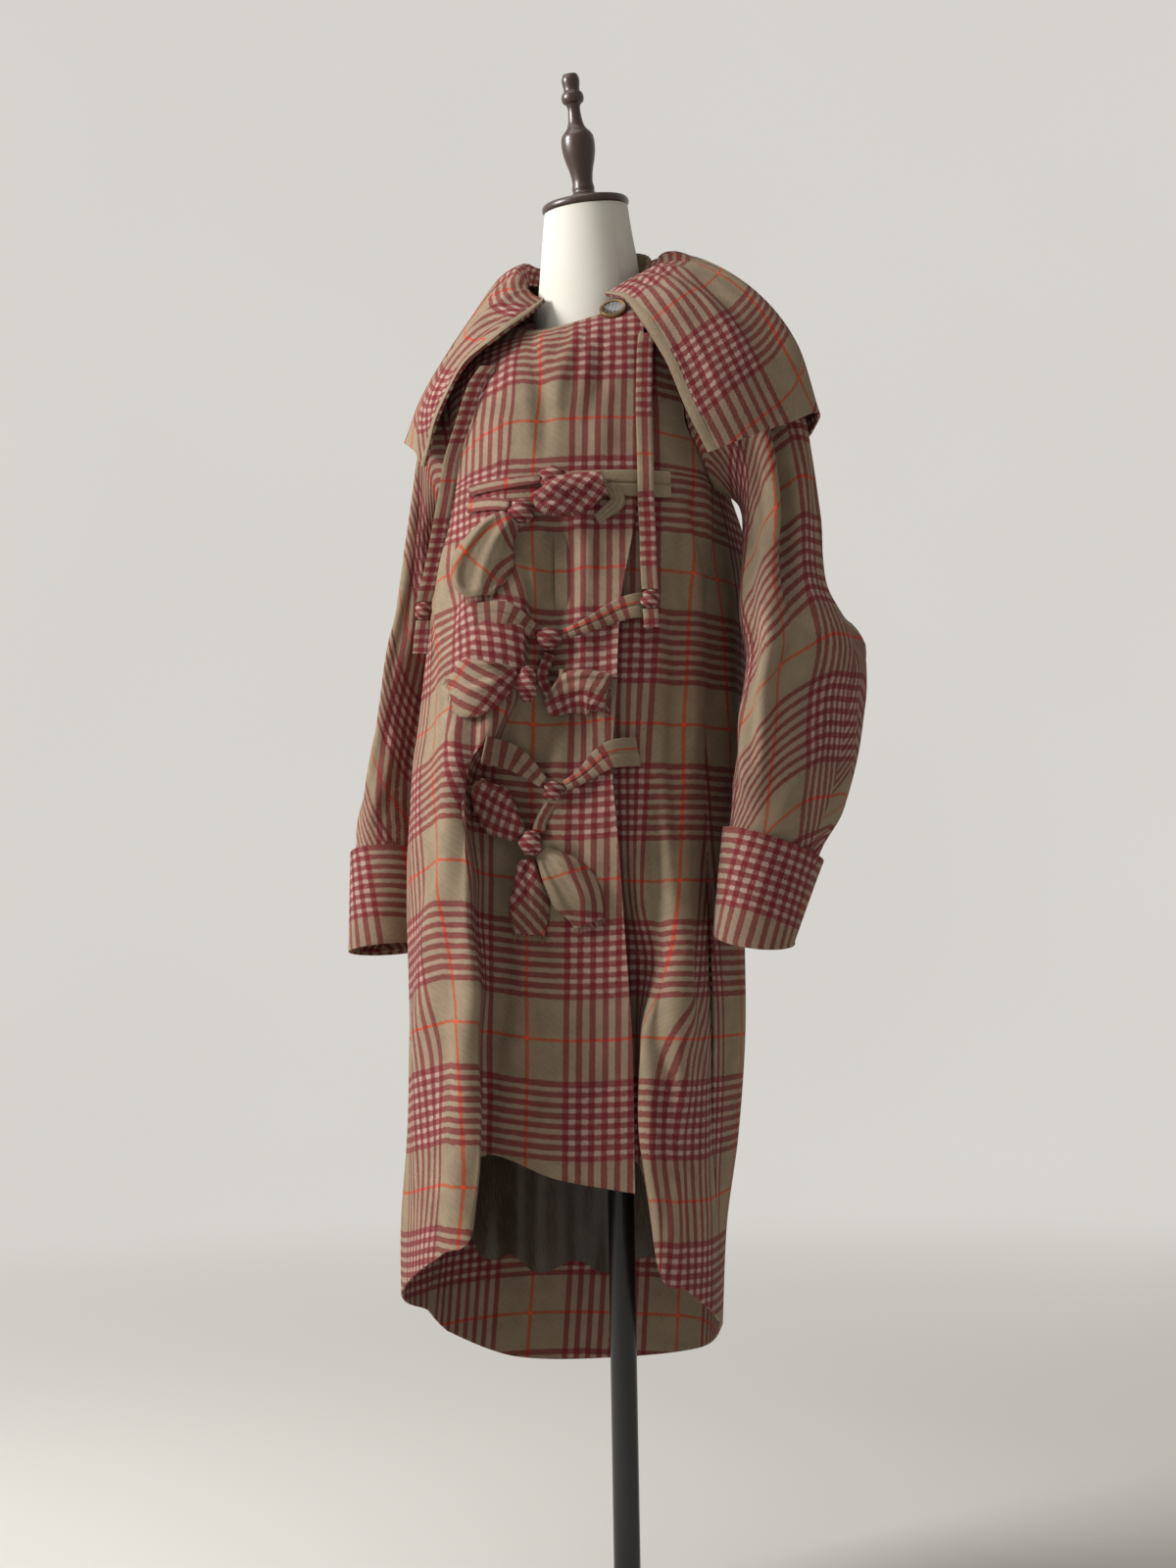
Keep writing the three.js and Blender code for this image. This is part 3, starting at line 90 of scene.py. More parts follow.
def add_camera():
    right, up, ahead = camera_axes(VIEW_TURN, VIEW_RISE, VIEW_ROLL)
    data = bpy.data.cameras.new("camera")
    data.sensor_fit = "VERTICAL"
    data.sensor_height = SENSOR_HEIGHT
    data.lens = SENSOR_HEIGHT * FOCAL_PIXELS / PICTURE_HEIGHT
    data.clip_end = 30.0
    camera = bpy.data.objects.new("camera", data)
    scene.collection.objects.link(camera)
    camera.matrix_world = Matrix((
        (right[0], up[0], -ahead[0], CAMERA_AT[0]),
        (right[1], up[1], -ahead[1], CAMERA_AT[1]),
        (right[2], up[2], -ahead[2], CAMERA_AT[2]),
        (0, 0, 0, 1),
    ))
    scene.camera = camera
    return camera


print("lens of", round(add_camera().data.lens, 1), "mm")

# %% [markdown]
# The coat's front opening is turned to the wearer's left. All its measures are given across and
# forward of that opening, in millimetres, and turned into the frame at the end.

# %% Places and curves
OPENING_TURN = math.radians(30.0)
TURN_COS, TURN_SIN = math.cos(OPENING_TURN), math.sin(OPENING_TURN)


def place(across, forward, height):
    """A place measured from the opening, turned into the frame's own directions."""
    across, forward, height = np.broadcast_arrays(*(np.asarray(a, float) for a in (across, forward, height)))
    x = across * TURN_COS + forward * TURN_SIN
    y = across * TURN_SIN - forward * TURN_COS
    return np.stack([x, y, height], -1)


def to_front(points):
    """The way back: how far across, forward and up each point lies from the opening."""
    x, y, z = points[..., 0], points[..., 1], points[..., 2]
    return np.stack([x * TURN_COS + y * TURN_SIN, x * TURN_SIN - y * TURN_COS, z], -1)


def smoothstep(value, low, high):
    share = np.clip((value - low) / (high - low), 0, 1)
    return share * share * (3 - 2 * share)


def smooth_through(xs, ys, x):
    """Smooth value at x through known pairs, straight beyond their ends."""
    xs, ys = np.asarray(xs, float), np.asarray(ys, float)
    if xs[-1] < xs[0]:
        xs, ys = xs[::-1], ys[::-1]
    slope = np.empty_like(ys)
    slope[1:-1] = (ys[2:] - ys[:-2]) / (xs[2:] - xs[:-2])
    slope[0] = (ys[1] - ys[0]) / (xs[1] - xs[0])
    slope[-1] = (ys[-1] - ys[-2]) / (xs[-1] - xs[-2])
    k = np.clip(np.searchsorted(xs, x) - 1, 0, len(xs) - 2)
    step = xs[k + 1] - xs[k]
    t = (x - xs[k]) / step
    t2, t3 = t * t, t * t * t
    inside = ((2 * t3 - 3 * t2 + 1) * ys[k] + (t3 - 2 * t2 + t) * step * slope[k]
              + (3 * t2 - 2 * t3) * ys[k + 1] + (t3 - t2) * step * slope[k + 1])
    below = ys[k] + slope[k] * (x - xs[k])
    above = ys[k + 1] + slope[k + 1] * (x - xs[k + 1])
    return np.where(t < 0, below, np.where(t > 1, above, inside))


def along_curve(points, share):
    """Places at shares of smooth curves: points is (stops, curves, axes), share is one per curve."""
    count = len(points)
    at = np.clip(share, 0, 1) * (count - 1)
    k = np.minimum(at.astype(int), count - 2)
    t = (at - k)[:, None]
    which = np.arange(len(share))
    padded = np.concatenate([[2 * points[0] - points[1]], points, [2 * points[-1] - points[-2]]])
    p0, p1, p2, p3 = (padded[k + i, which] for i in range(4))

    def span(a, b):
        return np.maximum(np.sum((a - b) ** 2, -1) ** 0.25, 1e-4)[:, None]

    d0, d1, d2 = span(p0, p1), span(p1, p2), span(p2, p3)
    t1 = ((p1 - p0) / d0 - (p2 - p0) / (d0 + d1) + (p2 - p1) / d1) * d1
    t2 = ((p2 - p1) / d1 - (p3 - p1) / (d1 + d2) + (p3 - p2) / d2) * d1
    return (p1 + t1 * t + (-3 * p1 + 3 * p2 - 2 * t1 - t2) * t ** 2
            + (2 * p1 - 2 * p2 + t1 + t2) * t ** 3)


def curve_places(stops, shares):
    """Places at many shares of one smooth curve through its stops."""
    stops = np.asarray(stops, float)
    shares = np.asarray(shares, float)
    return along_curve(np.repeat(stops[:, None, :], len(shares), 1), shares)


def run_lengths(points, axis):
    """Length along a grid of points, from its first row or column."""
    steps = np.linalg.norm(np.diff(points, axis=axis), axis=-1)
    start = np.zeros_like(np.take(steps, [0], axis=axis))
    return np.cumsum(np.concatenate([start, steps], axis=axis), axis=axis)


print("a middle place:", curve_places([(0, 0, 0), (1, 1, 0), (2, 0, 0)], [0.5])[0])

# %% [markdown]
# Every piece of cloth here starts as a grid of points.

# %% Grids of points become meshes
def grid_mesh(name, rows, across_cloth, down_cloth, closed_round=False):
    """A sheet from a grid of points in millimetres, with its cloth coordinates in metres."""
    count, width = rows.shape[:2]
    vertices = rows.reshape(-1, 3) * MM
    i, j = np.meshgrid(np.arange(count - 1), np.arange(width if closed_round else width - 1), indexing="ij")
    i, j = i.ravel(), j.ravel()
    nxt = (j + 1) % width
    faces = np.stack([i * width + j, (i + 1) * width + j, (i + 1) * width + nxt, i * width + nxt], -1)
    mesh = bpy.data.meshes.new(name)
    mesh.from_pydata(vertices.tolist(), [], faces.tolist())
    layer = mesh.uv_layers.new(name="cloth")
    if closed_round and across_cloth.shape[1] == width:
        gap = np.linalg.norm(rows[:, 0] - rows[:, -1], axis=-1)[:, None]
        across_cloth = np.concatenate([across_cloth, across_cloth[:, -1:] + gap], 1)
        down_cloth = np.concatenate([down_cloth, down_cloth[:, :1]], 1)

    def at_corners(cloth):
        return np.stack([cloth[i, j], cloth[i + 1, j], cloth[i + 1, j + 1], cloth[i, j + 1]], -1)

    uv = np.stack([at_corners(across_cloth), at_corners(down_cloth)], -1)
    layer.data.foreach_set("uv", (uv.reshape(-1) * MM).astype(np.float32))
    mesh.update()
    piece = bpy.data.objects.new(name, mesh)
    scene.collection.objects.link(piece)
    return piece


def only(piece):
    for other in bpy.context.view_layer.objects:
        other.select_set(False)
    piece.select_set(True)
    bpy.context.view_layer.objects.active = piece
    return piece


def smooth(piece, degrees=60):
    only(piece)
    bpy.ops.object.shade_smooth_by_angle(angle=math.radians(degrees))
    return piece


def finish_piece(piece, material, slot, *nodes):
    piece.data.materials.clear()
    piece.data.materials.append(material)
    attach(piece, "root")
    if nodes:
        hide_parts(*nodes)
    return piece


def wall(piece, thickness):
    """Gives a sheet its wall, on the side away from its outward faces."""
    only(piece)
    solidify = piece.modifiers.new("wall", "SOLIDIFY")
    solidify.thickness = thickness * MM
    solidify.offset = -1
    bpy.ops.object.modifier_apply(modifier=solidify.name)
    return smooth(piece, 75)


print("helpers are ready")


# %% [markdown]
# The two drawstrings come before the cloth: flat straps of the same wool, sewn into a tube and pressed.
# Each is a flat ring of points carried down its middle line, so its width keeps facing forward. A
# shallow dent down the middle and a little twist make it look like folded cloth and not like tape.

# %% Drawstrings, laid before the cloth
STRAP_WIDTH, STRAP_THICKNESS, STRAP_DENT, STRAP_SIDES = 17.0, 3.0, 0.35, 20
DRAWSTRINGS = {
    "left": {
        "path": ((40, 149.6, 1386), (38, 149.8, 1366), (37, 149.2, 1340), (36, 149.4, 1310),
                 (36, 151.2, 1280), (36, 156.4, 1250), (36, 159, 1236), (36, 159.4, 1215),
                 (36, 160, 1200), (37, 162, 1170), (37, 164, 1140), (38, 170.3, 1109.3)),
        "knot": (38, 170.9, 1099),
        "tail": ((38, 170.9, 1088.8), (39, 170.5, 1080), (39, 169.5, 1070)),
    },
    "right": {
        "path": ((-128, 121.6, 1362), (-140, 119.8, 1345), (-148, 116.6, 1325), (-158, 105, 1300),
                 (-170, 88, 1270), (-176, 80, 1240), (-182, 75.8, 1210), (-188, 71.6, 1180),
                 (-195, 67, 1150), (-203, 62, 1120.5)),
        "knot": (-204, 62, 1110),
        "tail": ((-204, 62, 1099.8), (-206, 65.5, 1080), (-207, 72.5, 1062)),
    },
}


def strap_ring(middle, width, twist):
    """A flat oval ring: its width lies across, its thickness forward."""
    angle = (np.arange(STRAP_SIDES) + 0.5) / STRAP_SIDES * 2 * math.pi
    wide = width / 2 * np.sign(np.cos(angle)) * np.abs(np.cos(angle)) ** 0.8
    deep = STRAP_THICKNESS / 2 * np.sin(angle) * (1 - STRAP_DENT * np.exp(-(wide / 3.0) ** 2))
    across = wide * math.cos(twist) - deep * math.sin(twist)
    forward = wide * math.sin(twist) + deep * math.cos(twist)
    return middle + place(across, forward, 0 * across), wide


def strap_rows(path, steps, width, seed):
    """Rings of a strap down its path, its cloth coordinates, its middle line and its length."""
    middles = curve_places([place(*stop) for stop in path], np.linspace(0, 1, steps))
    run = run_lengths(middles, 0)
    rows, across, down = [], [], []
    for middle, at in zip(middles, run):
        twist = 0.05 * math.sin(at / 31 + seed) + 0.03 * math.sin(at / 13 + 2 * seed)
        ring, wide = strap_ring(middle, width, twist)
        rows.append(ring)
        across.append(np.append(wide, wide[0]))
        down.append(np.full(len(wide) + 1, at))
    return np.stack(rows), np.stack(across), np.stack(down), middles, run[-1]


print("strap of", STRAP_WIDTH, "mm")

# %% [markdown]
# A ramp gives the colour of each warp yarn across the cloth, another the colour of each weft yarn down
# it, and a 2/2 twill says which one lies on top. Eight burgundy stripes on pinkish beige alternate
# with plain taupe, which has one orange yarn pair in its middle. Where burgundy crosses burgundy it is
# solid, elsewhere it is a fine hatch.

# %% Colours and node helpers
def lit(red, green, blue):
    """A colour that is given as it looks, as the shader's linear numbers."""
    def linear(c):
        c /= 255.0
        return c / 12.92 if c <= 0.04045 else ((c + 0.055) / 1.055) ** 2.4
    return (linear(red), linear(green), linear(blue), 1.0)


YARN = {
    "burgundy": lit(104, 2, 25),
    "beige": lit(163, 136, 123),
    "taupe": lit(134, 118, 96),
    "orange": lit(226, 58, 22),
}
STRIPES, ORANGE_HALF = 8, 0.0105


class Net:
    """Adds and links the nodes of one tree."""

    def __init__(self, tree):
        self.tree = tree

    def feed(self, node, inputs):
        """Links each named input to the output that is given for it, or sets it to the value."""
        for key, value in dict(inputs).items():
            socket = node.inputs[key]
            if hasattr(value, "is_output"):
                self.tree.links.new(value, socket)
            else:
                socket.default_value = value
        return node

    def put(self, kind, inputs=(), **settings):
        node = self.tree.nodes.new(kind)
        for key, value in settings.items():
            setattr(node, key, value)
        return self.feed(node, inputs)

    def sum(self, operation, a, b=0.0, c=None, clamp=False):
        inputs = {0: a, 1: b}
        if c is not None:
            inputs[2] = c
        return self.put("ShaderNodeMath", inputs, operation=operation, use_clamp=clamp).outputs[0]

    def mix(self, share, a, b, blend="MIX"):
        node = self.put("ShaderNodeMix", {0: share, 6: a, 7: b}, data_type="RGBA", blend_type=blend)
        return node.outputs[2]

    def scaled(self, vector, factor):
        return self.put("ShaderNodeVectorMath", {0: vector, "Scale": factor}, operation="SCALE").outputs[0]

    def noise(self, where, scale, detail, **more):
        inputs = {"Vector": where, "Scale": scale, "Detail": detail, **more}
        return self.put("ShaderNodeTexNoise", inputs).outputs["Fac"]

    def between(self, value, low, high, start=0.3, end=0.7):
        """Spreads a value that runs from start to end over the range from low to high."""
        return self.put("ShaderNodeMapRange", {0: value, 1: start, 2: end, 3: low, 4: high}).outputs[0]

    def relief(self, height, strength, distance):
        inputs = {"Height": height, "Strength": strength, "Distance": distance}
        return self.put("ShaderNodeBump", inputs).outputs[0]


def sett_ramp(net, position, group_share, stripe_part):
    """Colours over one repeat: the striped group first, then the plain block with its orange line."""
    ramp = net.put("ShaderNodeValToRGB", {0: position})
    ramp.color_ramp.interpolation = "CONSTANT"
    pitch = group_share / (STRIPES - 1 + stripe_part)
    stops = []
    for k in range(STRIPES):
        stops.append((k * pitch, "burgundy"))
        stops.append(((k + stripe_part) * pitch, "beige"))
    stops[-1] = (group_share, "taupe")
    middle = (group_share + 1) / 2
    stops += [(middle - ORANGE_HALF, "orange"), (middle + ORANGE_HALF, "taupe")]
    elements = ramp.color_ramp.elements
    while len(elements) > 1:
        elements.remove(elements[-1])
    elements[0].position, elements[0].color = stops[0][0], YARN[stops[0][1]]
    for at, name in stops[1:]:
        elements.new(at).color = YARN[name]
    return ramp.outputs[0]


print("yarns:", ", ".join(YARN))

# %% The woven check
REPEAT_ACROSS, REPEAT_DOWN = 0.180, 0.1623
GROUP_ACROSS, GROUP_DOWN = 0.552, 0.4917
WARP_STRIPE, WEFT_STRIPE = 0.46, 0.56
TWILL_PITCH, ROPE_PITCH = 0.0024, 0.0075
NUDGE, FUZZ = 0.0036, 0.6


def check_group():
    """Cloth coordinates in metres go in; the colour and the height of the weave come out."""
    group = bpy.data.node_groups.new("woven check", "ShaderNodeTree")
    group.interface.new_socket("Vector", in_out="INPUT", socket_type="NodeSocketVector")
    group.interface.new_socket("Color", in_out="OUTPUT", socket_type="NodeSocketColor")
    group.interface.new_socket("Height", in_out="OUTPUT", socket_type="NodeSocketFloat")
    net = Net(group)
    cloth = net.put("NodeGroupInput").outputs["Vector"]
    wobble = net.put("ShaderNodeTexNoise", {"Vector": cloth, "Scale": 420.0, "Detail": 3.0}).outputs["Color"]
    drift = net.put("ShaderNodeVectorMath", {0: wobble, 1: (0.5, 0.5, 0.5)}, operation="SUBTRACT").outputs[0]
    moved = net.put("ShaderNodeVectorMath", {0: cloth, 1: net.scaled(drift, NUDGE)}, operation="ADD")
    axes = net.put("ShaderNodeSeparateXYZ", {0: moved.outputs[0]})
    x, y = axes.outputs[0], axes.outputs[1]
    warp = sett_ramp(net, net.sum("FRACT", net.sum("DIVIDE", x, REPEAT_ACROSS)), GROUP_ACROSS, WARP_STRIPE)
    weft = sett_ramp(net, net.sum("FRACT", net.sum("DIVIDE", y, REPEAT_DOWN)), GROUP_DOWN, WEFT_STRIPE)
    diagonal = net.sum("DIVIDE", net.sum("ADD", x, y), TWILL_PITCH)
    wave = net.sum("SINE", net.sum("MULTIPLY", diagonal, 2 * math.pi))
    twill = net.sum("MULTIPLY_ADD", wave, 1.1, 0.5, clamp=True)
    slant = net.sum("ADD", net.sum("MULTIPLY", x, 0.7), y)
    ropes = net.sum("SINE", net.sum("MULTIPLY", slant, 2 * math.pi / ROPE_PITCH))
    blended = net.mix(0.58, net.mix(twill, warp, weft), net.mix(1.0, warp, weft, "DARKEN"))
    uneven = net.between(net.noise(cloth, 34.0, 5.0, Roughness=0.7), 0.74, 1.22, 0.25, 0.75)
    shaded = net.scaled(blended, net.sum("MULTIPLY_ADD", ropes, 0.035, uneven))
    fibres = net.noise(cloth, 1500.0, 3.0, Roughness=0.8)
    fuzz = net.sum("MULTIPLY", net.sum("SUBTRACT", fibres, 0.42, clamp=True), FUZZ)
    coloured = net.mix(fuzz, shaded, lit(190, 165, 150))
    height = net.sum("ADD", net.sum("MULTIPLY", twill, 0.35), fibres)
    net.put("NodeGroupOutput", {"Color": coloured, "Height": height})
    return group


CHECK = check_group()
print("nodes in the weave:", len(CHECK.nodes))


# %% Wool in its several cuts
def new_material(name):
    material = bpy.data.materials.new(name)
    material.use_nodes = True
    net = Net(material.node_tree)
    material.node_tree.nodes.clear()
    shader = net.put("ShaderNodeBsdfPrincipled")
    out = net.put("ShaderNodeOutputMaterial")
    net.tree.links.new(shader.outputs[0], out.inputs[0])
    return material, net, shader


def wool(name, shift=(0.0, 0.0)):
    """The check, shifted to lie on its pieces as it was cut."""
    material, net, shader = new_material(name)
    cloth = net.put("ShaderNodeUVMap", uv_map="cloth").outputs[0]
    moved = net.put("ShaderNodeMapping", {0: cloth, "Location": (*shift, 0)}).outputs[0]
    weave = net.put("ShaderNodeGroup", {"Vector": moved}, node_tree=CHECK)
    net.feed(shader, {
        "Base Color": weave.outputs["Color"], "Normal": net.relief(weave.outputs["Height"], 0.75, 0.0006),
        "Roughness": 0.96, "Specular IOR Level": 0.15,
        "Sheen Weight": 0.04, "Sheen Roughness": 0.6, "Sheen Tint": lit(215, 190, 175),
    })
    return material


def plain_surface(name, colour, roughness, grain, bump, coat, metallic=0.0):
    """A plain finish whose colour and gloss change softly over it, by object coordinates."""
    material, net, shader = new_material(name)
    where = net.put("ShaderNodeTexCoord").outputs["Object"]
    fine = net.noise(where, grain, 4.0)
    lift = net.between(net.noise(where, grain / 12, 6.0), 0.88, 1.12)
    net.feed(shader, {
        "Base Color": net.scaled(colour[:3], lift), "Normal": net.relief(fine, 0.5, bump),
        "Roughness": net.between(fine, roughness * 0.9, roughness * 1.12),
        "Coat Weight": coat, "Metallic": metallic,
    })
    return material


WOOL = wool("check wool")
STRAP_WOOL = wool("drawstring wool", shift=(0.00281, -0.0103))
print("made", WOOL.name, "and", STRAP_WOOL.name)


# %% Drawstrings of the same wool
KNOT_RUN = 4.5


def knot_mesh(name, centre, half, turns, seed, grooves=3):
    """A lump of cloth wound round itself: an oval whose windings stand up as soft ridges."""
    rows_count, round_count = 34, 44
    polar = np.linspace(0.04, math.pi - 0.04, rows_count)[:, None]
    around = np.arange(round_count)[None, :] / round_count * 2 * math.pi
    wind = turns * polar + grooves * around / 2 + seed
    ridge = 1 + 0.13 * np.sin(wind * 2) * np.sin(polar) + 0.06 * np.sin(3 * around + 5 * polar + seed)
    across = half[0] * np.sin(polar) * np.cos(around) * ridge
    forward = half[1] * np.sin(polar) * np.sin(around) * ridge
    height = half[2] * np.cos(polar) * (0.9 + 0.1 * ridge) + 0 * around
    rows = np.asarray(centre) + place(across, forward, height)
    u = np.broadcast_to((wind * KNOT_RUN) % 1000, (rows_count, round_count))
    v = np.broadcast_to(polar * half[2] * 1.5, (rows_count, round_count))
    u = np.concatenate([u, u[:, :1] + grooves * math.pi * KNOT_RUN], 1)
    v = np.concatenate([v, v[:, :1]], 1)
    return close_ends(grid_mesh(name, rows, u, v, True))


def close_ends(piece):
    """Closes the open rings at both ends of a tube and turns its faces outwards."""
    only(piece)
    bpy.ops.object.mode_set(mode="EDIT")
    bpy.ops.mesh.select_all(action="DESELECT")
    bpy.ops.mesh.select_mode(type="EDGE")
    bpy.ops.mesh.select_non_manifold()
    bpy.ops.mesh.fill()
    bpy.ops.mesh.select_all(action="SELECT")
    bpy.ops.mesh.normals_make_consistent(inside=False)
    bpy.ops.object.mode_set(mode="OBJECT")
    return smooth(piece, 55)


def strap_piece(name, path, steps, width, seed):
    """A strap that is closed at both ends, with its middle line and its length in millimetres."""
    rows, across, down, middles, length = strap_rows(path, steps, width, seed)
    return close_ends(grid_mesh(name, rows, across, down, True)), middles, length


def drawstring(side, seed):
    facts = DRAWSTRINGS[side]
    name = f"drawstring_{side}"
    strap, middles, length = strap_piece(name + "_strap", facts["path"], 150, STRAP_WIDTH, seed)
    finish_piece(strap, STRAP_WOOL, "drawstring_wool", name)
    knot = knot_mesh(name + "_knot_cloth", place(*facts["knot"]), (9, 8, 10), 2.2, seed)
    finish_piece(knot, STRAP_WOOL, "drawstring_wool", name + "_knot")
    tail = strap_piece(name + "_tail_cloth", facts["tail"], 12, STRAP_WIDTH * 0.95, seed)[0]
    finish_piece(tail, STRAP_WOOL, "drawstring_wool", name + "_tail")
    path = [tuple(float(c) * MM for c in middle) for middle in middles[::4]] + [tuple(middles[-1] * MM)]
    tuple(path[0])
    print(name, "is", round(length), "mm long")


drawstring("left", 1.3)
drawstring("right", 4.1)


# %% [markdown]
# The sections below are the coat's own pattern. Each row is a height, and each name is a place round
# the panel at that height, such as the free edge, the crest of the roll or the side seam. The same
# numbers make the solids, so the cloth lies where they are.

# %% The panels' sections
def table(columns, rows):
    names = columns.split()
    return [dict(zip(names, row)) for row in rows]


RIGHT_FRONT = table("height edge middle corner inner crest flank seam", [
    (1300, (30, 146), (-40, 150), (-95, 143), (-118, 133), (-150, 100), (-176, 30), (-158, -40)),
    (1200, (26, 152), (-40, 153), (-98, 147), (-122, 139), (-158, 104), (-187, 25), (-166, -46)),
    (1100, (8, 166), (-38, 158), (-84, 152), (-94, 168), (-140, 164), (-204, 25), (-180, -56)),
    (1000, (1, 174), (-45, 160), (-98, 150), (-106, 178), (-155, 168), (-213, 24), (-188, -62)),
    (930, (-4, 176), (-60, 158), (-134, 146), (-146, 186), (-176, 168), (-220, 22), (-191, -65)),
    (850, (1, 170), (-65, 155), (-142, 142), (-151, 192), (-181, 174), (-225, 20), (-193, -68)),
    (760, (6, 164), (-66, 150), (-140, 140), (-150, 197), (-183, 178), (-226, 20), (-194, -70)),
    (650, (12, 160), (-64, 148), (-134, 140), (-138, 204), (-176, 188), (-227, 20), (-196, -72)),
    (540, (12, 160), (-66, 150), (-140, 142), (-139, 204), (-178, 186), (-230, 18), (-198, -74)),
    (450, (12, 160), (-66, 150), (-145, 150), (-152, 196), (-186, 172), (-237, 12), (-203, -74)),
    (350, (12, 160), (-66, 150), (-145, 150), (-154, 190), (-190, 164), (-238, 0), (-216, -62)),
])
LEFT_FRONT = table("height hidden tuck inner crest outer seam", [
    (1300, (-60, 141), (-10, 141), (30, 139), (62, 131), (92, 115), (110, 85)),
    (1200, (-60, 144), (-10, 145), (32, 143), (70, 134), (98, 112), (110, 84)),
    (1100, (-60, 146), (-10, 150), (32, 150), (62, 139), (84, 122), (98, 102)),
    (1000, (-60, 146), (-15, 157), (28, 157), (60, 143), (82, 126), (95, 108)),
    (900, (-60, 146), (-10, 152), (30, 155), (60, 147), (82, 130), (94, 110)),
    (800, (-60, 138), (0, 142), (32, 153), (60, 156), (84, 136), (94, 110)),
    (730, (-55, 132), (20, 135), (41, 168), (66, 166), (87, 139), (95, 110)),
    (650, (-55, 130), (16, 134), (25, 184), (58, 180), (86, 143), (95, 110)),
    (560, (-55, 130), (16, 134), (19, 190), (54, 186), (84, 145), (94, 110)),
    (480, (-55, 130), (20, 134), (33, 186), (60, 176), (86, 138), (98, 104)),
    (350, (-55, 130), (20, 134), (35, 172), (62, 156), (88, 122), (99, 90)),
])
BACK = table("height seamLeft flankLeft backLeft middle backRight flankRight seamRight", [
    (1300, (110, 85), (123, 40), (102, -35), (35, -86), (-60, -98), (-130, -72), (-158, -40)),
    (1200, (110, 84), (132, 40), (150, -34), (34, -96), (-66, -108), (-140, -78), (-166, -46)),
    (1100, (98, 102), (132, 60), (148, -38), (30, -112), (-76, -122), (-155, -90), (-180, -56)),
    (1000, (95, 108), (134, 52), (140, -48), (26, -124), (-84, -134), (-164, -98), (-188, -62)),
    (900, (94, 110), (135, 48), (132, -56), (22, -134), (-90, -144), (-170, -102), (-192, -66)),
    (750, (95, 110), (136, 45), (122, -64), (16, -140), (-96, -150), (-174, -106), (-194, -70)),
    (650, (95, 110), (135, 42), (118, -68), (10, -144), (-100, -152), (-176, -106), (-196, -72)),
    (540, (94, 109), (126, 34), (110, -72), (2, -146), (-108, -150), (-180, -104), (-198, -74)),
    (450, (98, 102), (112, 36), (99, -76), (-6, -146), (-114, -148), (-186, -100), (-203, -74)),
    (350, (99, 90), (105, 36), (90, -80), (-14, -141), (-120, -140), (-194, -94), (-216, -62)),
])
RIGHT_FRONT_HEM = (497, 511, 534, 460, 438, 372, 347)
LEFT_FRONT_HEM = (528, 522, 420, 402, 376, 358)
BACK_HEM = (358, 343, 297, 277, 281, 318, 347)
print("sections:", len(RIGHT_FRONT), len(LEFT_FRONT), len(BACK))

# %% The body from neckline to hem
CHEST, ARMPIT = 1300, 1235
SHOULDER_SHARES = (0, 0.2, 0.4, 0.6, 0.75, 0.88, 1)
SHOULDER_ROW, ARMPIT_ROW, LAST_ROW = 3, 8, 20
CLOTH_WALL = 2.2


def neckline_at(angle, out=0.0, rise=0.0):
    turn = np.radians(angle)
    radius = 62 + out
    return np.stack(np.broadcast_arrays(
        radius * np.sin(turn), -30 - radius * np.cos(turn), 1451 - 36 * np.cos(turn) + rise), -1)


class Panel:
    def __init__(self, sections, hem, angles, cut_start=0.0, cut_end=0.0, tucked=0.0):
        self.names = [name for name in sections[0] if name != "height"]
        self.heights = [row["height"] for row in sections]
        self.places = np.array([[row[name] for name in self.names] for row in sections], float)
        self.hem, self.angles, self.tucked = hem, angles, tucked
        self.cut_start, self.cut_end = cut_start, cut_end

    def section_points(self, share, height):
        """Places of the panel at shares across it and at heights, both of one length."""
        stops = np.stack([
            np.stack([smooth_through(self.heights, self.places[:, k, axis], height) for axis in (0, 1)], -1)
            for k in range(len(self.names))
        ])
        flat = along_curve(stops, share)
        return place(flat[:, 0], flat[:, 1], height)

    def shoulder_points(self, share, fall):
        angle = self.angles[0] + (self.angles[1] - self.angles[0]) * share
        hidden = (1 - smoothstep(angle, 64, 78)) if self.tucked else 0 * angle
        top = neckline_at(angle, -self.tucked * hidden)
        chest = self.section_points(share, np.full_like(share, CHEST))
        side = np.sin(np.radians(angle)) ** 2
        out = np.sin(fall * math.pi / 2) ** (1 - 0.45 * side)
        down = np.clip(np.cos(fall * math.pi / 2), 0, 1) ** (1 - 0.5 * side)
        point = top + (chest - top) * out[:, None]
        point[:, 2] = chest[:, 2] + (top[:, 2] - chest[:, 2]) * down
        bulge = np.where(np.sin(np.radians(angle)) > 0, 20, -8)
        point[:, 0] += bulge * side ** 2 * np.sin(fall * math.pi) ** 2
        return point

    def hem_height(self, share):
        return smooth_through(np.linspace(0, 1, len(self.hem)), self.hem, share)

    def row_span(self, row):
        opening = np.clip((row - SHOULDER_ROW) / (ARMPIT_ROW - SHOULDER_ROW), 0, 1)
        bite = max(math.sin(math.pi * opening), 0) ** 0.7
        return self.cut_start * bite, 1 - self.cut_end * bite

    def points(self, row, shares):
        """One row of places; whole numbers are the solid's own rows, and rows between them are allowed."""
        start, end = self.row_span(row)
        share = start + (end - start) * shares
        if row <= 6:
            fall = np.interp(row, range(7), SHOULDER_SHARES)
            return self.shoulder_points(share, np.full_like(share, fall))
        if row <= ARMPIT_ROW:
            height = np.interp(row, (6, 7, 8), (CHEST, 1268, ARMPIT))
            return self.section_points(share, np.full_like(share, height))
        fall = (row - ARMPIT_ROW) / (LAST_ROW - ARMPIT_ROW)
        return self.section_points(share, ARMPIT + (self.hem_height(share) - ARMPIT) * fall)


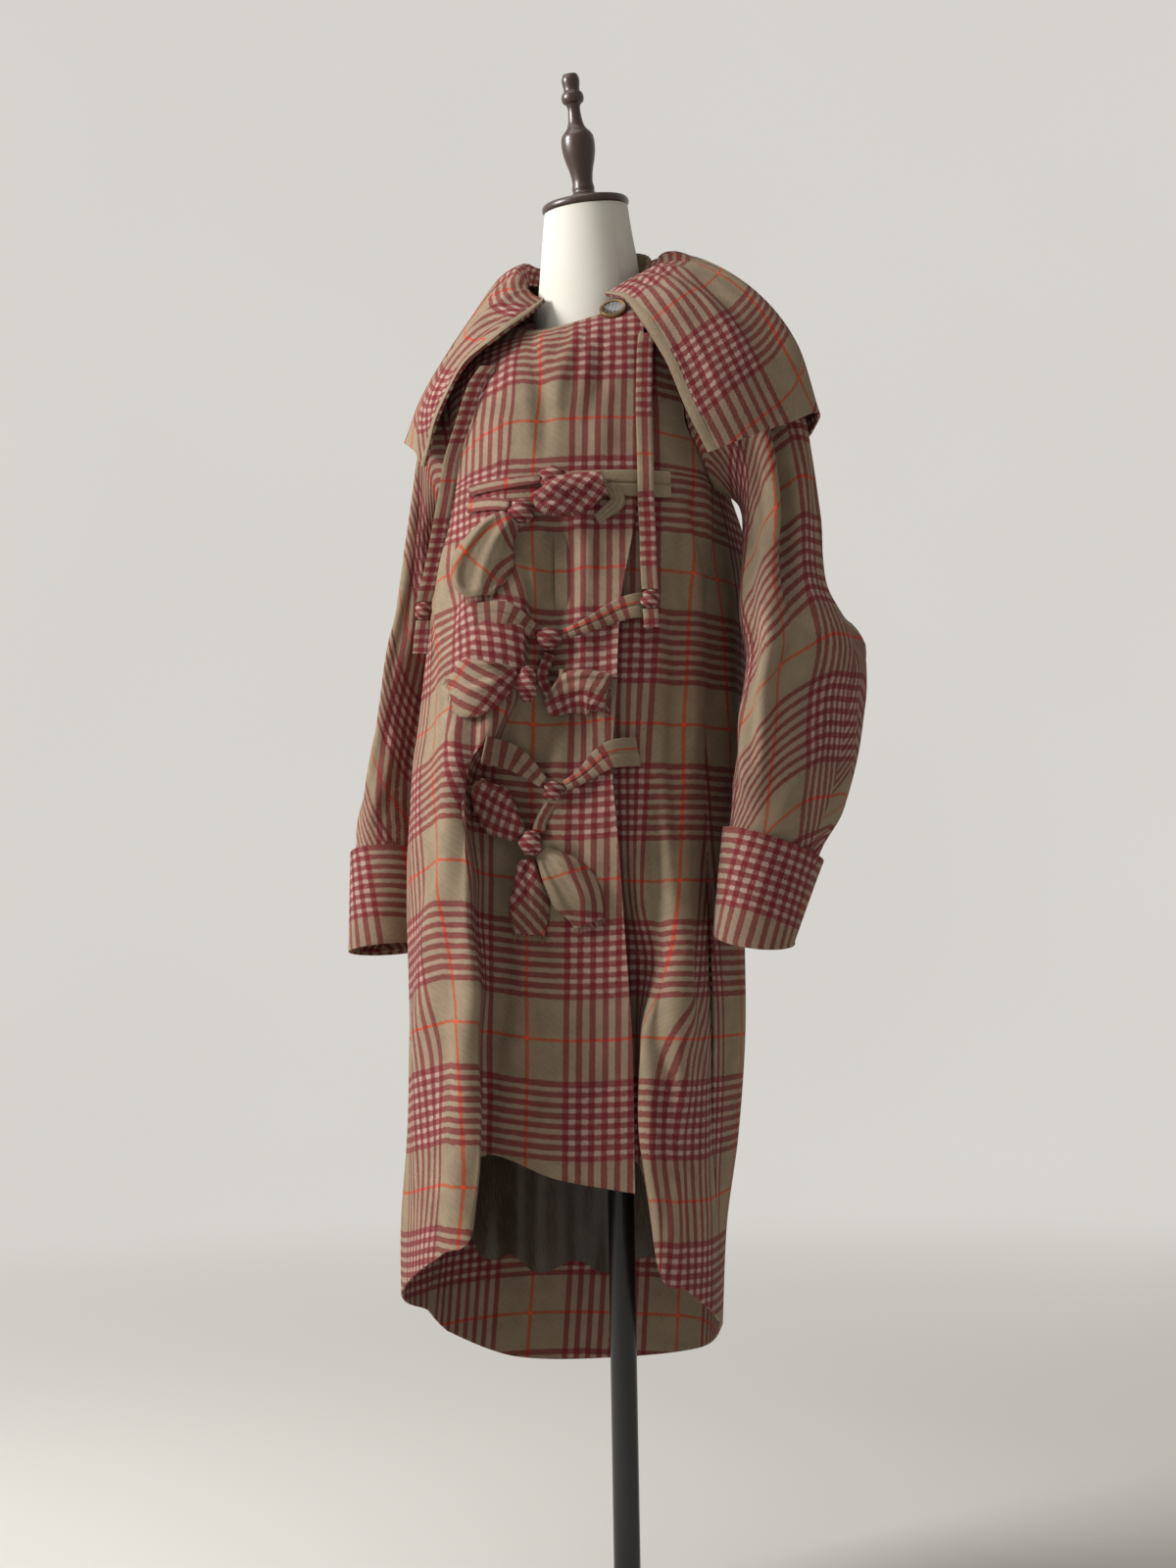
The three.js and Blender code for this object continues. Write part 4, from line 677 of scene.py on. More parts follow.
RIGHT_PANEL = Panel(RIGHT_FRONT, RIGHT_FRONT_HEM, (62, -90), cut_end=0.15)
LEFT_PANEL = Panel(LEFT_FRONT, LEFT_FRONT_HEM, (2, 90), cut_end=0.3, tucked=10)
BACK_PANEL = Panel(BACK, BACK_HEM, (90, 270), cut_start=0.13, cut_end=0.13)
PANEL_ROWS = np.concatenate([np.linspace(0, 6, 31), np.linspace(6, 8, 9)[1:], np.linspace(8, 20, 121)[1:]])


def panel_grid(panel, per_span=9):
    shares = np.linspace(0, 1, (len(panel.names) - 1) * per_span + 1)
    return np.stack([panel.points(row, shares) for row in PANEL_ROWS])


def closed_at(row):
    return row <= SHOULDER_ROW or row >= ARMPIT_ROW


RIGHT_GRID, LEFT_GRID, BACK_GRID = (panel_grid(p) for p in (RIGHT_PANEL, LEFT_PANEL, BACK_PANEL))


def share_seam(front, back, column):
    """Where a side seam is closed the front runs smoothly to the back's edge."""
    for i, row in enumerate(PANEL_ROWS):
        if closed_at(row):
            gap = back[i, column] - front[i, -1]
            ease = np.linspace(0, 1, 10)[1:] ** 2
            front[i, -9:] += ease[:, None] * gap


share_seam(LEFT_GRID, BACK_GRID, 0)
share_seam(RIGHT_GRID, BACK_GRID, -1)
print("grid of the right front:", RIGHT_GRID.shape)

# %% [markdown]
# A crease in draped wool is a soft trough with two shoulders, deepest at one end and lost at the
# other. Each row of a crease table gives its line over the panel, how wide and how deep it is, and
# where it starts and ends. Troughs are negative, ridges positive. They differ in length, depth and
# spacing, because cloth never repeats itself.

# %% Creases on a grid
def grid_normals(rows, inside, closed_round=False):
    down = np.gradient(rows, axis=0)
    if closed_round:
        around = (np.roll(rows, -1, 1) - np.roll(rows, 1, 1)) / 2
    else:
        around = np.gradient(rows, axis=1)
    normal = np.cross(down, around)
    normal /= np.maximum(np.linalg.norm(normal, axis=-1, keepdims=True), 1e-9)
    middle = rows.shape[0] // 2, rows.shape[1] // 2
    if np.dot(normal[middle], rows[middle] - np.asarray(inside, float)) < 0:
        normal = -normal
    return normal


def crease_depth(points, creases):
    """Sum of creases at (across, height) points: each is two ends, a half-width, a depth and a bend."""
    total = np.zeros(points.shape[:-1])
    for x0, z0, x1, z1, half, depth, skew in creases:
        run = np.array([x1 - x0, z1 - z0], float)
        length = np.linalg.norm(run)
        run /= length
        offset = points - np.array([x0, z0])
        along = offset @ run / length
        bent = skew * np.sin(np.pi * np.clip(along, 0, 1))
        aside = offset @ np.array([-run[1], run[0]]) - bent
        ends = smoothstep(along, -0.12, 0.28) * (1 - smoothstep(along, 0.6, 1.12))
        width = half * (0.65 + 0.35 * np.clip(ends, 0, 1))
        near = aside / width
        shape = np.exp(-near ** 2) - 0.35 * np.exp(-((np.abs(near) - 1.8) ** 2) * 1.5)
        total += depth * ends * shape
    return total


def creased(rows, inside, flat_points, creases, closed_round=False):
    normal = grid_normals(rows, inside, closed_round)
    return rows + normal * crease_depth(flat_points, creases)[..., None]


def plain_run(length, start=108.0, reach=14.0):
    """Cloth coordinates that go to and fro within the plain block, for bands that show no stripe."""
    return start + np.abs((np.asarray(length, float) / reach) % 2 - 1) * reach


print("a trough's middle:", crease_depth(np.array([[0.0, 0.0]]), [(0, -50, 0, 50, 8, -4, 0)]).round(2))

# %% [markdown]
# The wearer's right front is the one that laps over. Its middle is one recessed panel between two
# rolls, and soft troughs run down from the ties, where the knots pull the cloth together.

# %% Front panels
BODY_MIDDLE = place(-45, 30, 900)


def flat_front(rows):
    """Across and height of each point, for laying creases by their place in the front view."""
    front = to_front(rows)
    return np.stack([front[..., 0], front[..., 2]], -1)


RIGHT_CREASES = (
    (-54, 1190, -62, 1058, 15, -11.0, 3), (-63, 1052, -84, 915, 15, -12.0, 4),
    (-90, 915, -128, 760, 17, -13.0, 6),
    (-30, 1100, -34, 960, 8, 3.4, 3), (-48, 880, -66, 720, 9, 4.0, -4), (-118, 780, -128, 600, 12, -7.0, 3),
    (-4, 1396, -22, 1300, 8, -4.2, 4), (-34, 1398, -58, 1290, 7, 3.6, -4), (-80, 1394, -70, 1250, 9, -5.0, 5),
    (14, 1390, 4, 1330, 6, -3.0, 0),
    (-72, 1398, -66, 1290, 7, 2.6, 3), (-20, 1404, -24, 1372, 5, -1.8, 0), (-46, 1402, -44, 1366, 5, -2.0, 2),
    (2, 1404, -2, 1378, 5, -1.6, 0), (-96, 1382, -88, 1330, 7, -2.2, 3), (-6, 1300, -14, 1246, 10, 2.0, 0),
    (-60, 1190, -46, 1090, 12, -5.5, -4), (-30, 1190, -28, 1120, 9, 3.0, 3),
    (-84, 1180, -62, 1096, 8, -4.0, 0),
    (-52, 1034, -40, 930, 12, -5.0, 5), (-20, 1030, -16, 950, 10, 3.2, 0), (-78, 1000, -60, 900, 9, 4.0, 4),
    (-66, 880, -80, 700, 11, -4.5, -6), (-28, 880, -34, 760, 10, 3.0, 4),
    (-100, 880, -112, 730, 10, -4.0, 3), (-50, 700, -56, 560, 12, 2.6, 0),
    (-92, 690, -96, 560, 9, -3.0, 3), (-14, 720, -16, 540, 9, -2.4, -3),
)
ROLL_CREASES = (
    (-140, 700, -150, 470, 12, -6.0, 3), (-182, 700, -190, 440, 12, -5.0, -4),
    (-206, 720, -214, 500, 9, 4.0, 3), (-148, 1010, -158, 800, 12, -7.0, 4),
    (-172, 800, -178, 560, 13, -6.5, -4), (-196, 1120, -206, 880, 10, -5.0, 4),
    (-158, 1200, -176, 1060, 10, -4.0, 4), (-176, 1190, -200, 1030, 9, 3.0, 4),
    (-136, 1050, -150, 900, 8, -3.5, -3), (-164, 1000, -172, 860, 10, 2.6, 3),
    (-190, 960, -200, 780, 11, -3.0, 5), (-160, 840, -164, 640, 11, -3.4, 4),
    (-186, 820, -196, 600, 12, 2.8, -5), (-168, 650, -180, 500, 12, -3.0, 3),
    (-150, 700, -146, 520, 9, 2.4, 0), (-205, 1150, -214, 950, 10, -2.6, 3),
    (-212, 900, -216, 700, 10, 2.4, -4),
)
LEFT_CREASES = (
    (44, 640, 40, 440, 9, -6.0, 2), (70, 600, 66, 420, 10, -4.5, -2), (30, 1180, 33, 1020, 6, -5.0, 1),
    (58, 1130, 64, 900, 11, -6.5, 4), (36, 900, 34, 620, 9, -8.0, 2), (60, 800, 60, 560, 12, 6.0, -3),
    (82, 900, 84, 640, 9, -5.0, 3), (88, 1230, 96, 1130, 8, -4.0, 0),
    (70, 1190, 80, 1020, 9, -3.4, 3), (50, 1150, 56, 1000, 8, 2.6, 0), (86, 1180, 92, 1060, 7, 2.4, 0),
    (60, 990, 70, 800, 9, -3.0, -3), (44, 940, 48, 800, 8, 2.4, 3), (50, 780, 44, 620, 9, -3.4, 3),
    (74, 800, 76, 620, 9, 2.8, -3), (46, 640, 52, 500, 10, -2.6, 0), (72, 620, 72, 470, 8, 2.0, 2),
)
BACK_CREASES = (
    (74, 760, 64, 430, 14, -5.0, 4), (16, 900, 30, 560, 15, 4.6, -5), (-40, 980, -30, 600, 16, -5.2, 5),
    (-96, 700, -108, 440, 13, -4.6, 4), (96, 1160, 92, 980, 12, 4.0, 3),
    (90, 1180, 100, 900, 14, -4.0, 5), (60, 1240, 50, 960, 15, 3.6, -6), (20, 1180, 10, 800, 16, -4.4, 6),
    (-30, 1230, -44, 900, 14, 3.6, 5), (-80, 1200, -90, 860, 15, -4.2, -6),
    (-120, 1160, -140, 820, 14, 3.6, 5), (104, 860, 96, 560, 13, 3.4, -4),
    (50, 880, 40, 520, 15, -3.8, 6), (-10, 820, -24, 480, 15, 3.4, -5), (-66, 860, -76, 500, 14, -4.0, 5),
    (-116, 820, -130, 520, 13, 3.4, -4), (-160, 900, -170, 600, 12, -3.6, 5),
)


def cloth_coordinates(rows, first_across, level_height, level_down):
    """Across the cloth by length round the row, down it by length from a level row."""
    front = to_front(rows)
    across_cloth = run_lengths(rows, 1) + first_across(front[:, :1, 0], front[:, :1, 2])
    level = int(np.argmin(np.abs(PANEL_ROWS - ARMPIT_ROW)))
    down_run = run_lengths(rows, 0)
    down_cloth = down_run - down_run[level] + level_down + (level_height - front[level, :, 2])
    return across_cloth, down_cloth


def cloth_panel(name, rows, creases, cloth_map):
    shaped = creased(rows, BODY_MIDDLE, flat_front(rows), creases)
    sheet = grid_mesh(name + "_cloth", shaped, *cloth_map)
    facing_out(sheet, shaped, BODY_MIDDLE)
    return finish_piece(wall(sheet, CLOTH_WALL), WOOL, "plaid_wool", name)


def facing_out(piece, rows, inside):
    """Turns the faces of a sheet outwards, away from a point inside the coat."""
    middle = rows.shape[0] // 2, rows.shape[1] // 2
    down = rows[middle[0] + 1, middle[1]] - rows[middle]
    around = rows[middle[0], middle[1] + 1] - rows[middle]
    outward = np.dot(np.cross(down, around), rows[middle] - np.asarray(inside, float)) > 0
    if not outward:
        piece.data.flip_normals()
    return piece


# The check meets the front's free edge as on the coat: stripe centres 2, 15.4, 28.8 mm and so on from it.
# An orange line crosses every panel at 1297 mm, and the rest of the check follows by its own repeat.
LEVEL, LEVEL_DOWN = 1235.0, 183.05


def right_map(rows):
    across_cloth, down_cloth = cloth_coordinates(
        rows, lambda edge, height: 57.6 - edge - 0.026 * (1300 - height), LEVEL, LEVEL_DOWN)
    column = np.linspace(0, 6, rows.shape[1])
    return across_cloth + 22 * smoothstep(column, 1.4, 3.0), down_cloth


def left_map(rows):
    return cloth_coordinates(rows, lambda edge, height: edge + 47.0, LEVEL, LEVEL_DOWN)


def back_map(rows):
    across_cloth, down_cloth = cloth_coordinates(rows, lambda edge, height: 0 * edge, LEVEL, LEVEL_DOWN)
    middle = rows.shape[1] // 2
    return across_cloth - across_cloth[:, middle:middle + 1] + 50.0, down_cloth


cloth_panel("coat_front_right", RIGHT_GRID, RIGHT_CREASES + ROLL_CREASES, right_map(RIGHT_GRID))
cloth_panel("coat_front_left", LEFT_GRID, LEFT_CREASES, left_map(LEFT_GRID))
cloth_panel("coat_back", BACK_GRID, BACK_CREASES, back_map(BACK_GRID))
print("body panels done")


# %% [markdown]
# A sleeve is a tube set into the armhole. Its folds are deep at the elbow, where the arm would bend,
# and the cuff is turned back over its lower end, so it is the same cloth a little further out.

# %% Sleeves and cuffs
SLEEVE_SIDES, SLEEVE_COLUMNS = 18, 96
# Each long fold of a sleeve: its place round, half-width and depth, and where it starts and ends.
SLEEVE_FOLDS = ((0.13, 0.09, 11, 0.3, 0.85), (0.87, 0.08, 8, 0.35, 0.8))
CUFF_FROM, CUFF_GAP, CUFF_WALL, CUFF_FLARE = 12.35, 0.45, 3, 3
LEFT_SLEEVE = table("outer inner centre half rise", [
    ((174, 1418), (142, 1232), -10, 56, 0),
    ((195, 1398), (151, 1226), 0, 56, 0),
    ((211, 1366), (160, 1214), 10, 55, 0),
    ((223, 1325), (162, 1196), 20, 54, 0),
    ((230, 1270), (161, 1172), 24, 56, 0),
    ((236, 1210), (160, 1138), 24, 62, 0),
    ((243, 1130), (160, 1086), 24, 78, 4),
    ((272, 1056), (168, 1030), 40, 114, 8),
    ((266, 1000), (166, 980), 36, 120, 10),
    ((262, 948), (164, 934), 22, 110, 14),
    ((257, 894), (163, 898), 0, 92, 16),
    ((246, 850), (162, 868), -20, 66, 14),
    ((239, 818), (158, 842), -27, 60, 10),
    ((224, 744), (152, 764), -46, 49, -7),
])
RIGHT_SLEEVE = table("outer inner centre half rise", [
    ((186, 1412), (175, 1232), -40, 54, 0),
    ((199, 1392), (181, 1226), -36, 54, 0),
    ((210, 1360), (185, 1212), -32, 53, 0),
    ((219, 1320), (188, 1192), -28, 53, 0),
    ((226, 1275), (190, 1166), -28, 55, 0),
    ((236, 1210), (193, 1130), -28, 60, 0),
    ((247, 1130), (198, 1084), -30, 68, 4),
    ((260, 1050), (203, 1034), -28, 80, 6),
    ((269, 1000), (206, 984), -28, 86, 8),
    ((278, 950), (207, 936), -32, 86, 10),
    ((285, 898), (208, 890), -42, 80, 12),
    ((287, 856), (207, 864), -57, 66, 12),
    ((287, 822), (206, 836), -66, 60, 12),
    ((280, 744), (208, 756), -88, 49, 2),
])


def spaced_along(points, count):
    points = np.asarray(points)
    run = run_lengths(points, 0)
    at = np.linspace(0, run[-1], count + 1)
    return np.stack([np.interp(at, run, points[:, k]) for k in range(3)], -1)


def armhole_loop(front_panel, back_share, count):
    down = range(SHOULDER_ROW, ARMPIT_ROW + 1)
    front = [front_panel.points(i, np.array([1.0]))[0] for i in down]
    rise = [BACK_PANEL.points(i, np.array([float(back_share)]))[0] for i in reversed(down)]
    front[0], front[-1] = rise[-1], rise[0]
    loop = np.concatenate([spaced_along(front, count // 2)[:-1], spaced_along(rise, count // 2)[:-1]])
    inward = loop.mean(0) - loop
    return loop + inward / np.linalg.norm(inward, axis=1, keepdims=True) * 0.5


def sleeve_ring(ring, side, count):
    angle = np.arange(count) / count * 2 * math.pi
    share = (1 + np.cos(angle)) / 2
    reach = ring["inner"][0] + (ring["outer"][0] - ring["inner"][0]) * share
    height = ring["inner"][1] + (ring["outer"][1] - ring["inner"][1]) * share + ring["rise"] * np.sin(angle)
    return np.stack([side * reach, ring["centre"] - ring["half"] * np.sin(angle), height], -1)


def sleeve_grid(rings, side, front_panel, back_share, stations):
    """Rows of a sleeve: the solid's 18 lines down it are run round into many more."""
    loop = armhole_loop(front_panel, back_share, SLEEVE_SIDES)
    stops = np.stack([loop] + [sleeve_ring(ring, side, SLEEVE_SIDES) for ring in rings])
    share = np.asarray(stations) / len(rings)
    rows = np.stack([curve_places_each(stops, s) for s in share])
    around = np.arange(SLEEVE_SIDES) / SLEEVE_SIDES
    middle = rows.mean(1, keepdims=True)
    inward = (middle - rows) * (1, 1, 0)
    inward /= np.maximum(np.linalg.norm(inward, axis=-1, keepdims=True), 1e-6)
    depth = np.zeros(rows.shape[:2])
    for at, width, deep, low, high in SLEEVE_FOLDS:
        near = 1 - smoothstep(np.abs(around - at), 0, width)
        run = smoothstep(share, low, low + 0.15) * (1 - smoothstep(share, high - 0.15, high))
        depth += deep * near[None, :] * run[:, None]
    rows = rows + inward * depth[..., None]
    return round_out(rows, SLEEVE_COLUMNS)


def curve_places_each(stops, share):
    return along_curve(stops, np.full(stops.shape[1], share))


def round_out(rows, count):
    """More points round closed rows, on smooth closed curves through those that are there."""
    sides = rows.shape[1]
    at = np.arange(count) / count * sides
    k = at.astype(int)
    t = (at - k)[None, :, None]
    p = [rows[:, (k + i) % sides] for i in (-1, 0, 1, 2)]
    slope1, slope2 = (p[2] - p[0]) / 2, (p[3] - p[1]) / 2
    return ((2 * t ** 3 - 3 * t ** 2 + 1) * p[1] + (t ** 3 - 2 * t ** 2 + t) * slope1
            + (3 * t ** 2 - 2 * t ** 3) * p[2] + (t ** 3 - t ** 2) * slope2)


SLEEVE_STATIONS = np.concatenate([np.linspace(0, 2, 13), np.linspace(2, 14, 121)[1:]])
LEFT_ARM = sleeve_grid(LEFT_SLEEVE, 1, LEFT_PANEL, 0, SLEEVE_STATIONS)
RIGHT_ARM = sleeve_grid(RIGHT_SLEEVE, -1, RIGHT_PANEL, 1, SLEEVE_STATIONS)


def round_and_height(rows):
    """How far round the sleeve each point lies, in hundredths from its outer side, and its height."""
    around = np.arange(rows.shape[1]) / rows.shape[1]
    return np.stack([np.broadcast_to(around * 100, rows.shape[:2]), rows[..., 2]], -1)


ARM_CREASES = {
    "left": (
        (4, 1380, 10, 1180, 4, -5.0, 1), (20, 1330, 15, 1150, 3.4, 5.0, 1),
        (12, 1130, 20, 980, 3.2, -6.0, 1), (28, 1200, 24, 1060, 3, -4.0, 0),
        (90, 1094, 90, 1052, 4.5, 8.0, 0), (86, 1200, 89, 1090, 3.2, 4.0, 0),
        (13.5, 1340, 12, 1060, 2.6, -11.0, 0), (18.5, 1310, 19, 1060, 2.4, 4.0, 0),
        (24, 1120, 22, 900, 2.6, 6.0, 0), (90, 1340, 84, 1100, 4, -6.0, 1),
        (80, 1250, 78, 1010, 3.4, 5.0, -1), (70, 1220, 74, 1040, 3, -5.0, 1),
        (33, 1000, 24, 880, 3, 4.0, 1), (8, 960, 14, 860, 3, 3.0, 0), (60, 1180, 62, 980, 3.4, 4.0, 1),
        (50, 1120, 46, 930, 3.2, -4.0, 0), (95, 1050, 88, 900, 3.2, -4.0, 0),
    ),
    "right": (
        (6, 1370, 8, 1180, 4, -4.0, 1), (22, 1320, 18, 1120, 3.4, 4.0, 1),
        (14, 1120, 22, 960, 3.2, -4.5, 1), (30, 1200, 28, 1040, 3, -3.6, 0),
        (90, 1330, 86, 1100, 4, -4.4, 1), (78, 1250, 76, 1000, 3.4, 4.0, -1),
        (68, 1200, 70, 1000, 3, -4.0, 1), (35, 1000, 26, 880, 3, 3.2, 1), (10, 960, 16, 860, 3, 2.6, 0),
        (58, 1180, 60, 980, 3.4, 3.6, 1), (48, 1120, 46, 930, 3.2, -3.6, 0),
        (96, 1050, 90, 900, 3.2, -3.4, 0),
    ),
}


# Where the check lies on a sleeve: the column and station of a crossing of orange lines, since the
# sleeves were cut with the warp across the arm.
ARM_CHECK = {"left": (18, 1197, -1), "right": (14, 1180, 1)}
ORANGE_ACROSS, ORANGE_DOWN = 139.7, 121.05


def arm_map(rows, name):
    """Cloth coordinates: warp across the arm, weft along it, from a column that faces forward."""
    column, height, way = ARM_CHECK[name]
    around = np.concatenate([rows, rows[:, :1]], 1)
    round_run = run_lengths(around, 1)
    round_run = (round_run - round_run[:, column:column + 1]) * way
    down_run = run_lengths(around, 0)
    level = int(np.argmin(np.abs(rows[:, column, 2] - height)))
    down_run = down_run - down_run[level, column] - 0.35 * (down_run[level] - down_run[level, column])
    return down_run + ORANGE_ACROSS, round_run + ORANGE_DOWN


def arm(name, rows):
    inside = rows[len(rows) // 2].mean(0)
    shaped = creased(rows, inside, round_and_height(rows), ARM_CREASES[name], closed_round=True)
    sheet = grid_mesh(f"sleeve_{name}_cloth", shaped, *arm_map(rows, name), True)
    facing_out(sheet, shaped, inside)
    finish_piece(wall(sheet, CLOTH_WALL), WOOL, "plaid_wool", f"sleeve_{name}")
    return shaped


def cuff(name, shaped):
    first = int(np.searchsorted(SLEEVE_STATIONS, CUFF_FROM))
    lower = shaped[first:]
    inside = lower.mean((0, 1))
    normal = grid_normals(lower, inside, True)
    share = np.linspace(0, 1, len(lower))[:, None, None]
    rows = lower + normal * (CUFF_GAP + CUFF_WALL + CUFF_FLARE * (1 - share))
    last = rows[-1] - (0, 0, CUFF_WALL)
    rows = np.concatenate([rows, last[None]])
    sheet = grid_mesh(f"cuff_{name}_cloth", rows, run_lengths(rows, 1), run_lengths(rows, 0), True)
    facing_out(sheet, rows, inside)
    return finish_piece(wall(sheet, CUFF_WALL), WOOL, "plaid_wool", f"cuff_{name}")


LEFT_ARM_SHAPED = arm("left", LEFT_ARM)
RIGHT_ARM_SHAPED = arm("right", RIGHT_ARM)
cuff("left", LEFT_ARM_SHAPED)
cuff("right", RIGHT_ARM_SHAPED)
print("sleeves done:", LEFT_ARM.shape)

# %% [markdown]
# The neckband stands round the neck, and above it the hood's gathered casing. Both are taupe.

# %% Neckband and casing
def plain_sheet(name, rows):
    """A sheet whose cloth coordinates stay within the plain block."""
    return grid_mesh(name, rows, plain_run(run_lengths(rows, 1)), plain_run(run_lengths(rows, 0), 90))


def ring_sheet(node, rows):
    sheet = plain_sheet(node + "_cloth", rows)
    facing_out(sheet, rows, (0, -30, 1451))
    return finish_piece(wall(sheet, CLOTH_WALL), WOOL, "plain_wool", node)


BAND_ANGLES = np.linspace(62 - 357, 62, 181)
BAND_RISE, CASING_RISE, GATHERS = 21, 44, 30
ring_sheet("neckband", np.stack([
    neckline_at(BAND_ANGLES, -3 * share, 0.35 + BAND_RISE * share) for share in np.linspace(0, 1, 9)]))


def casing_rows(count=420):
    along = np.linspace(0, 1, count)
    angle = 75 + 225 * along
    tall = CASING_RISE * (0.15 + 0.85 * np.sin(np.pi * along) ** 0.45)
    rows = []
    for share in np.linspace(0, 1, 14):
        phase = along * GATHERS * 2 * np.pi + 1.4 * np.sin(9 * along) + 2.0 * share
        wave = 2.3 * np.sin(phase) * (0.35 + 0.65 * share)
        bulge = 2 * math.sin(math.pi * share)
        rows.append(neckline_at(angle, 2.15 + bulge * 0.5 + wave * share, 6 + tall * share))
    return np.stack(rows)


ring_sheet("hood_casing", casing_rows())
print("band and casing done")

# %% [markdown]
# The hood is worn open, so it lies as a wide double collar over the shoulders. One smooth surface runs
# through the sections, and it is cut into the two flaps and the back.

# %% Hood
HOOD = table("name neck rise crest shoulder skirt hem", [
    ('left front edge', (-2, 98, 1447), (16, 124, 1434), (34, 152, 1400), (58, 168, 1352),
     (78, 170, 1300), (101, 164, 1253)),
    ('left chest', (18, 92, 1462), (38, 114, 1456), (68, 144, 1432), (96, 162, 1380), (122, 172, 1326),
     (146, 162, 1271)),
    ('left shoulder front', (39, 72, 1480), (54, 84, 1482), (90, 108, 1466), (136, 136, 1418),
     (168, 148, 1350), (190, 144, 1290)),
    ('left shoulder', (55, 36, 1494), (66, 38, 1512), (102, 46, 1504), (158, 80, 1456), (200, 110, 1386),
     (224, 108, 1310)),
    ('left back', (52, -2, 1500), (60, -10, 1526), (88, -22, 1530), (144, -16, 1476), (190, -4, 1385),
     (206, 0, 1292)),
    ('centre back', (20, -36, 1502), (26, -48, 1530), (38, -72, 1538), (58, -104, 1492),
     (70, -122, 1388), (72, -126, 1262)),
    ('right back', (-44, -40, 1500), (-50, -52, 1526), (-64, -82, 1532), (-104, -122, 1482),
     (-140, -148, 1392), (-150, -152, 1286)),
    ('right shoulder', (-85, 8, 1490), (-94, 2, 1516), (-114, -18, 1512), (-150, -46, 1472),
     (-206, -76, 1390), (-230, -68, 1328)),
    ('right chest', (-81, 54, 1464), (-94, 62, 1466), (-122, 70, 1446), (-160, 66, 1404),
     (-198, 52, 1348), (-219, 14, 1300)),
    ('right front edge', (-68, 74, 1450), (-80, 92, 1432), (-112, 124, 1398), (-152, 122, 1366),
     (-184, 84, 1322), (-204, 34, 1277)),
])
HOOD_PLACES = ("neck", "rise", "crest", "shoulder", "skirt", "hem")
HOOD_PIECES = (("hood_flap_left", 0, 3), ("hood_back", 3, 7), ("hood_flap_right", 7, 9))
HOOD_ROWS, HOOD_PER_SPAN = 56, 20


def hood_surface():
    stops = np.array([[place(*section[name]) for name in HOOD_PLACES] for section in HOOD])
    down = np.stack([curve_places(stops[k], np.linspace(0, 1, HOOD_ROWS)) for k in range(len(HOOD))], 0)
    spans = np.linspace(0, 1, (len(HOOD) - 1) * HOOD_PER_SPAN + 1)
    return np.stack([curve_places(down[:, i], spans) for i in range(HOOD_ROWS)])


HOOD_GRID = hood_surface()


# Folds of each piece by columns from its left end and rows from the neck, both counted to 1000.
HOOD_CREASES = {
    "hood_flap_left": (
        (640, 380, 760, 900, 70, -5.0, 40), (560, 160, 660, 520, 60, 4.0, -30),
        (300, 120, 420, 420, 60, -3.0, 20), (860, 420, 960, 960, 60, 4.5, 20),
        (160, 520, 200, 900, 60, -1.8, 0), (780, 120, 940, 420, 60, -4.0, 0),
    ),
    "hood_back": (
        (80, 300, 120, 900, 40, -5.0, 20), (200, 160, 240, 800, 36, 5.0, -20),
        (330, 260, 340, 940, 36, -5.5, 20), (450, 200, 470, 860, 36, 5.0, -20),
        (570, 300, 560, 940, 36, -5.0, 20), (700, 200, 690, 860, 36, 4.5, 20),
        (820, 280, 830, 920, 36, -4.5, -20), (930, 200, 940, 800, 34, 4.0, 0),
    ),
    "hood_flap_right": (
        (200, 240, 260, 900, 70, -3.5, 30), (480, 180, 540, 800, 70, 3.5, -30),
        (760, 300, 780, 900, 60, -2.5, 20), (380, 60, 460, 320, 60, -3.5, 0),
    ),
}
HOOD_CHECK = {"hood_flap_left": (0, 29), "hood_back": (12, 29), "hood_flap_right": (64, 22)}
HOOD_INSIDE, HOOD_WALL, HEM_WAVE = (0, -30, 1330), 3, 2.0
BORDER, BORDER_WALL = 9.0, 0.5


def hood_piece(name, first, last):
    rows = HOOD_GRID[:, first * HOOD_PER_SPAN:last * HOOD_PER_SPAN + 1]
    tall, wide = rows.shape[:2]
    flat = np.stack(np.meshgrid(np.linspace(0, 1000, wide), np.linspace(0, 1000, tall)), -1)
    shaped = creased(rows, HOOD_INSIDE, flat, HOOD_CREASES[name])
    toward_hem = np.linspace(0, 1, tall)[:, None] ** 2
    run = run_lengths(rows, 1)
    wave = (np.sin(run / 19 + 0.6) + 0.6 * np.sin(run / 8.3)) * np.sin(np.linspace(0, math.pi, wide)) ** 0.5
    shaped = shaped + grid_normals(rows, HOOD_INSIDE) * (HEM_WAVE * wave * toward_hem)[..., None]
    side, fall = HOOD_CHECK[name]
    sheet = grid_mesh(name + "_cloth", shaped, run + side, run_lengths(rows, 0) + fall)
    facing_out(sheet, shaped, HOOD_INSIDE)
    finish_piece(wall(sheet, HOOD_WALL), WOOL, "plaid_wool", name)
    return shaped


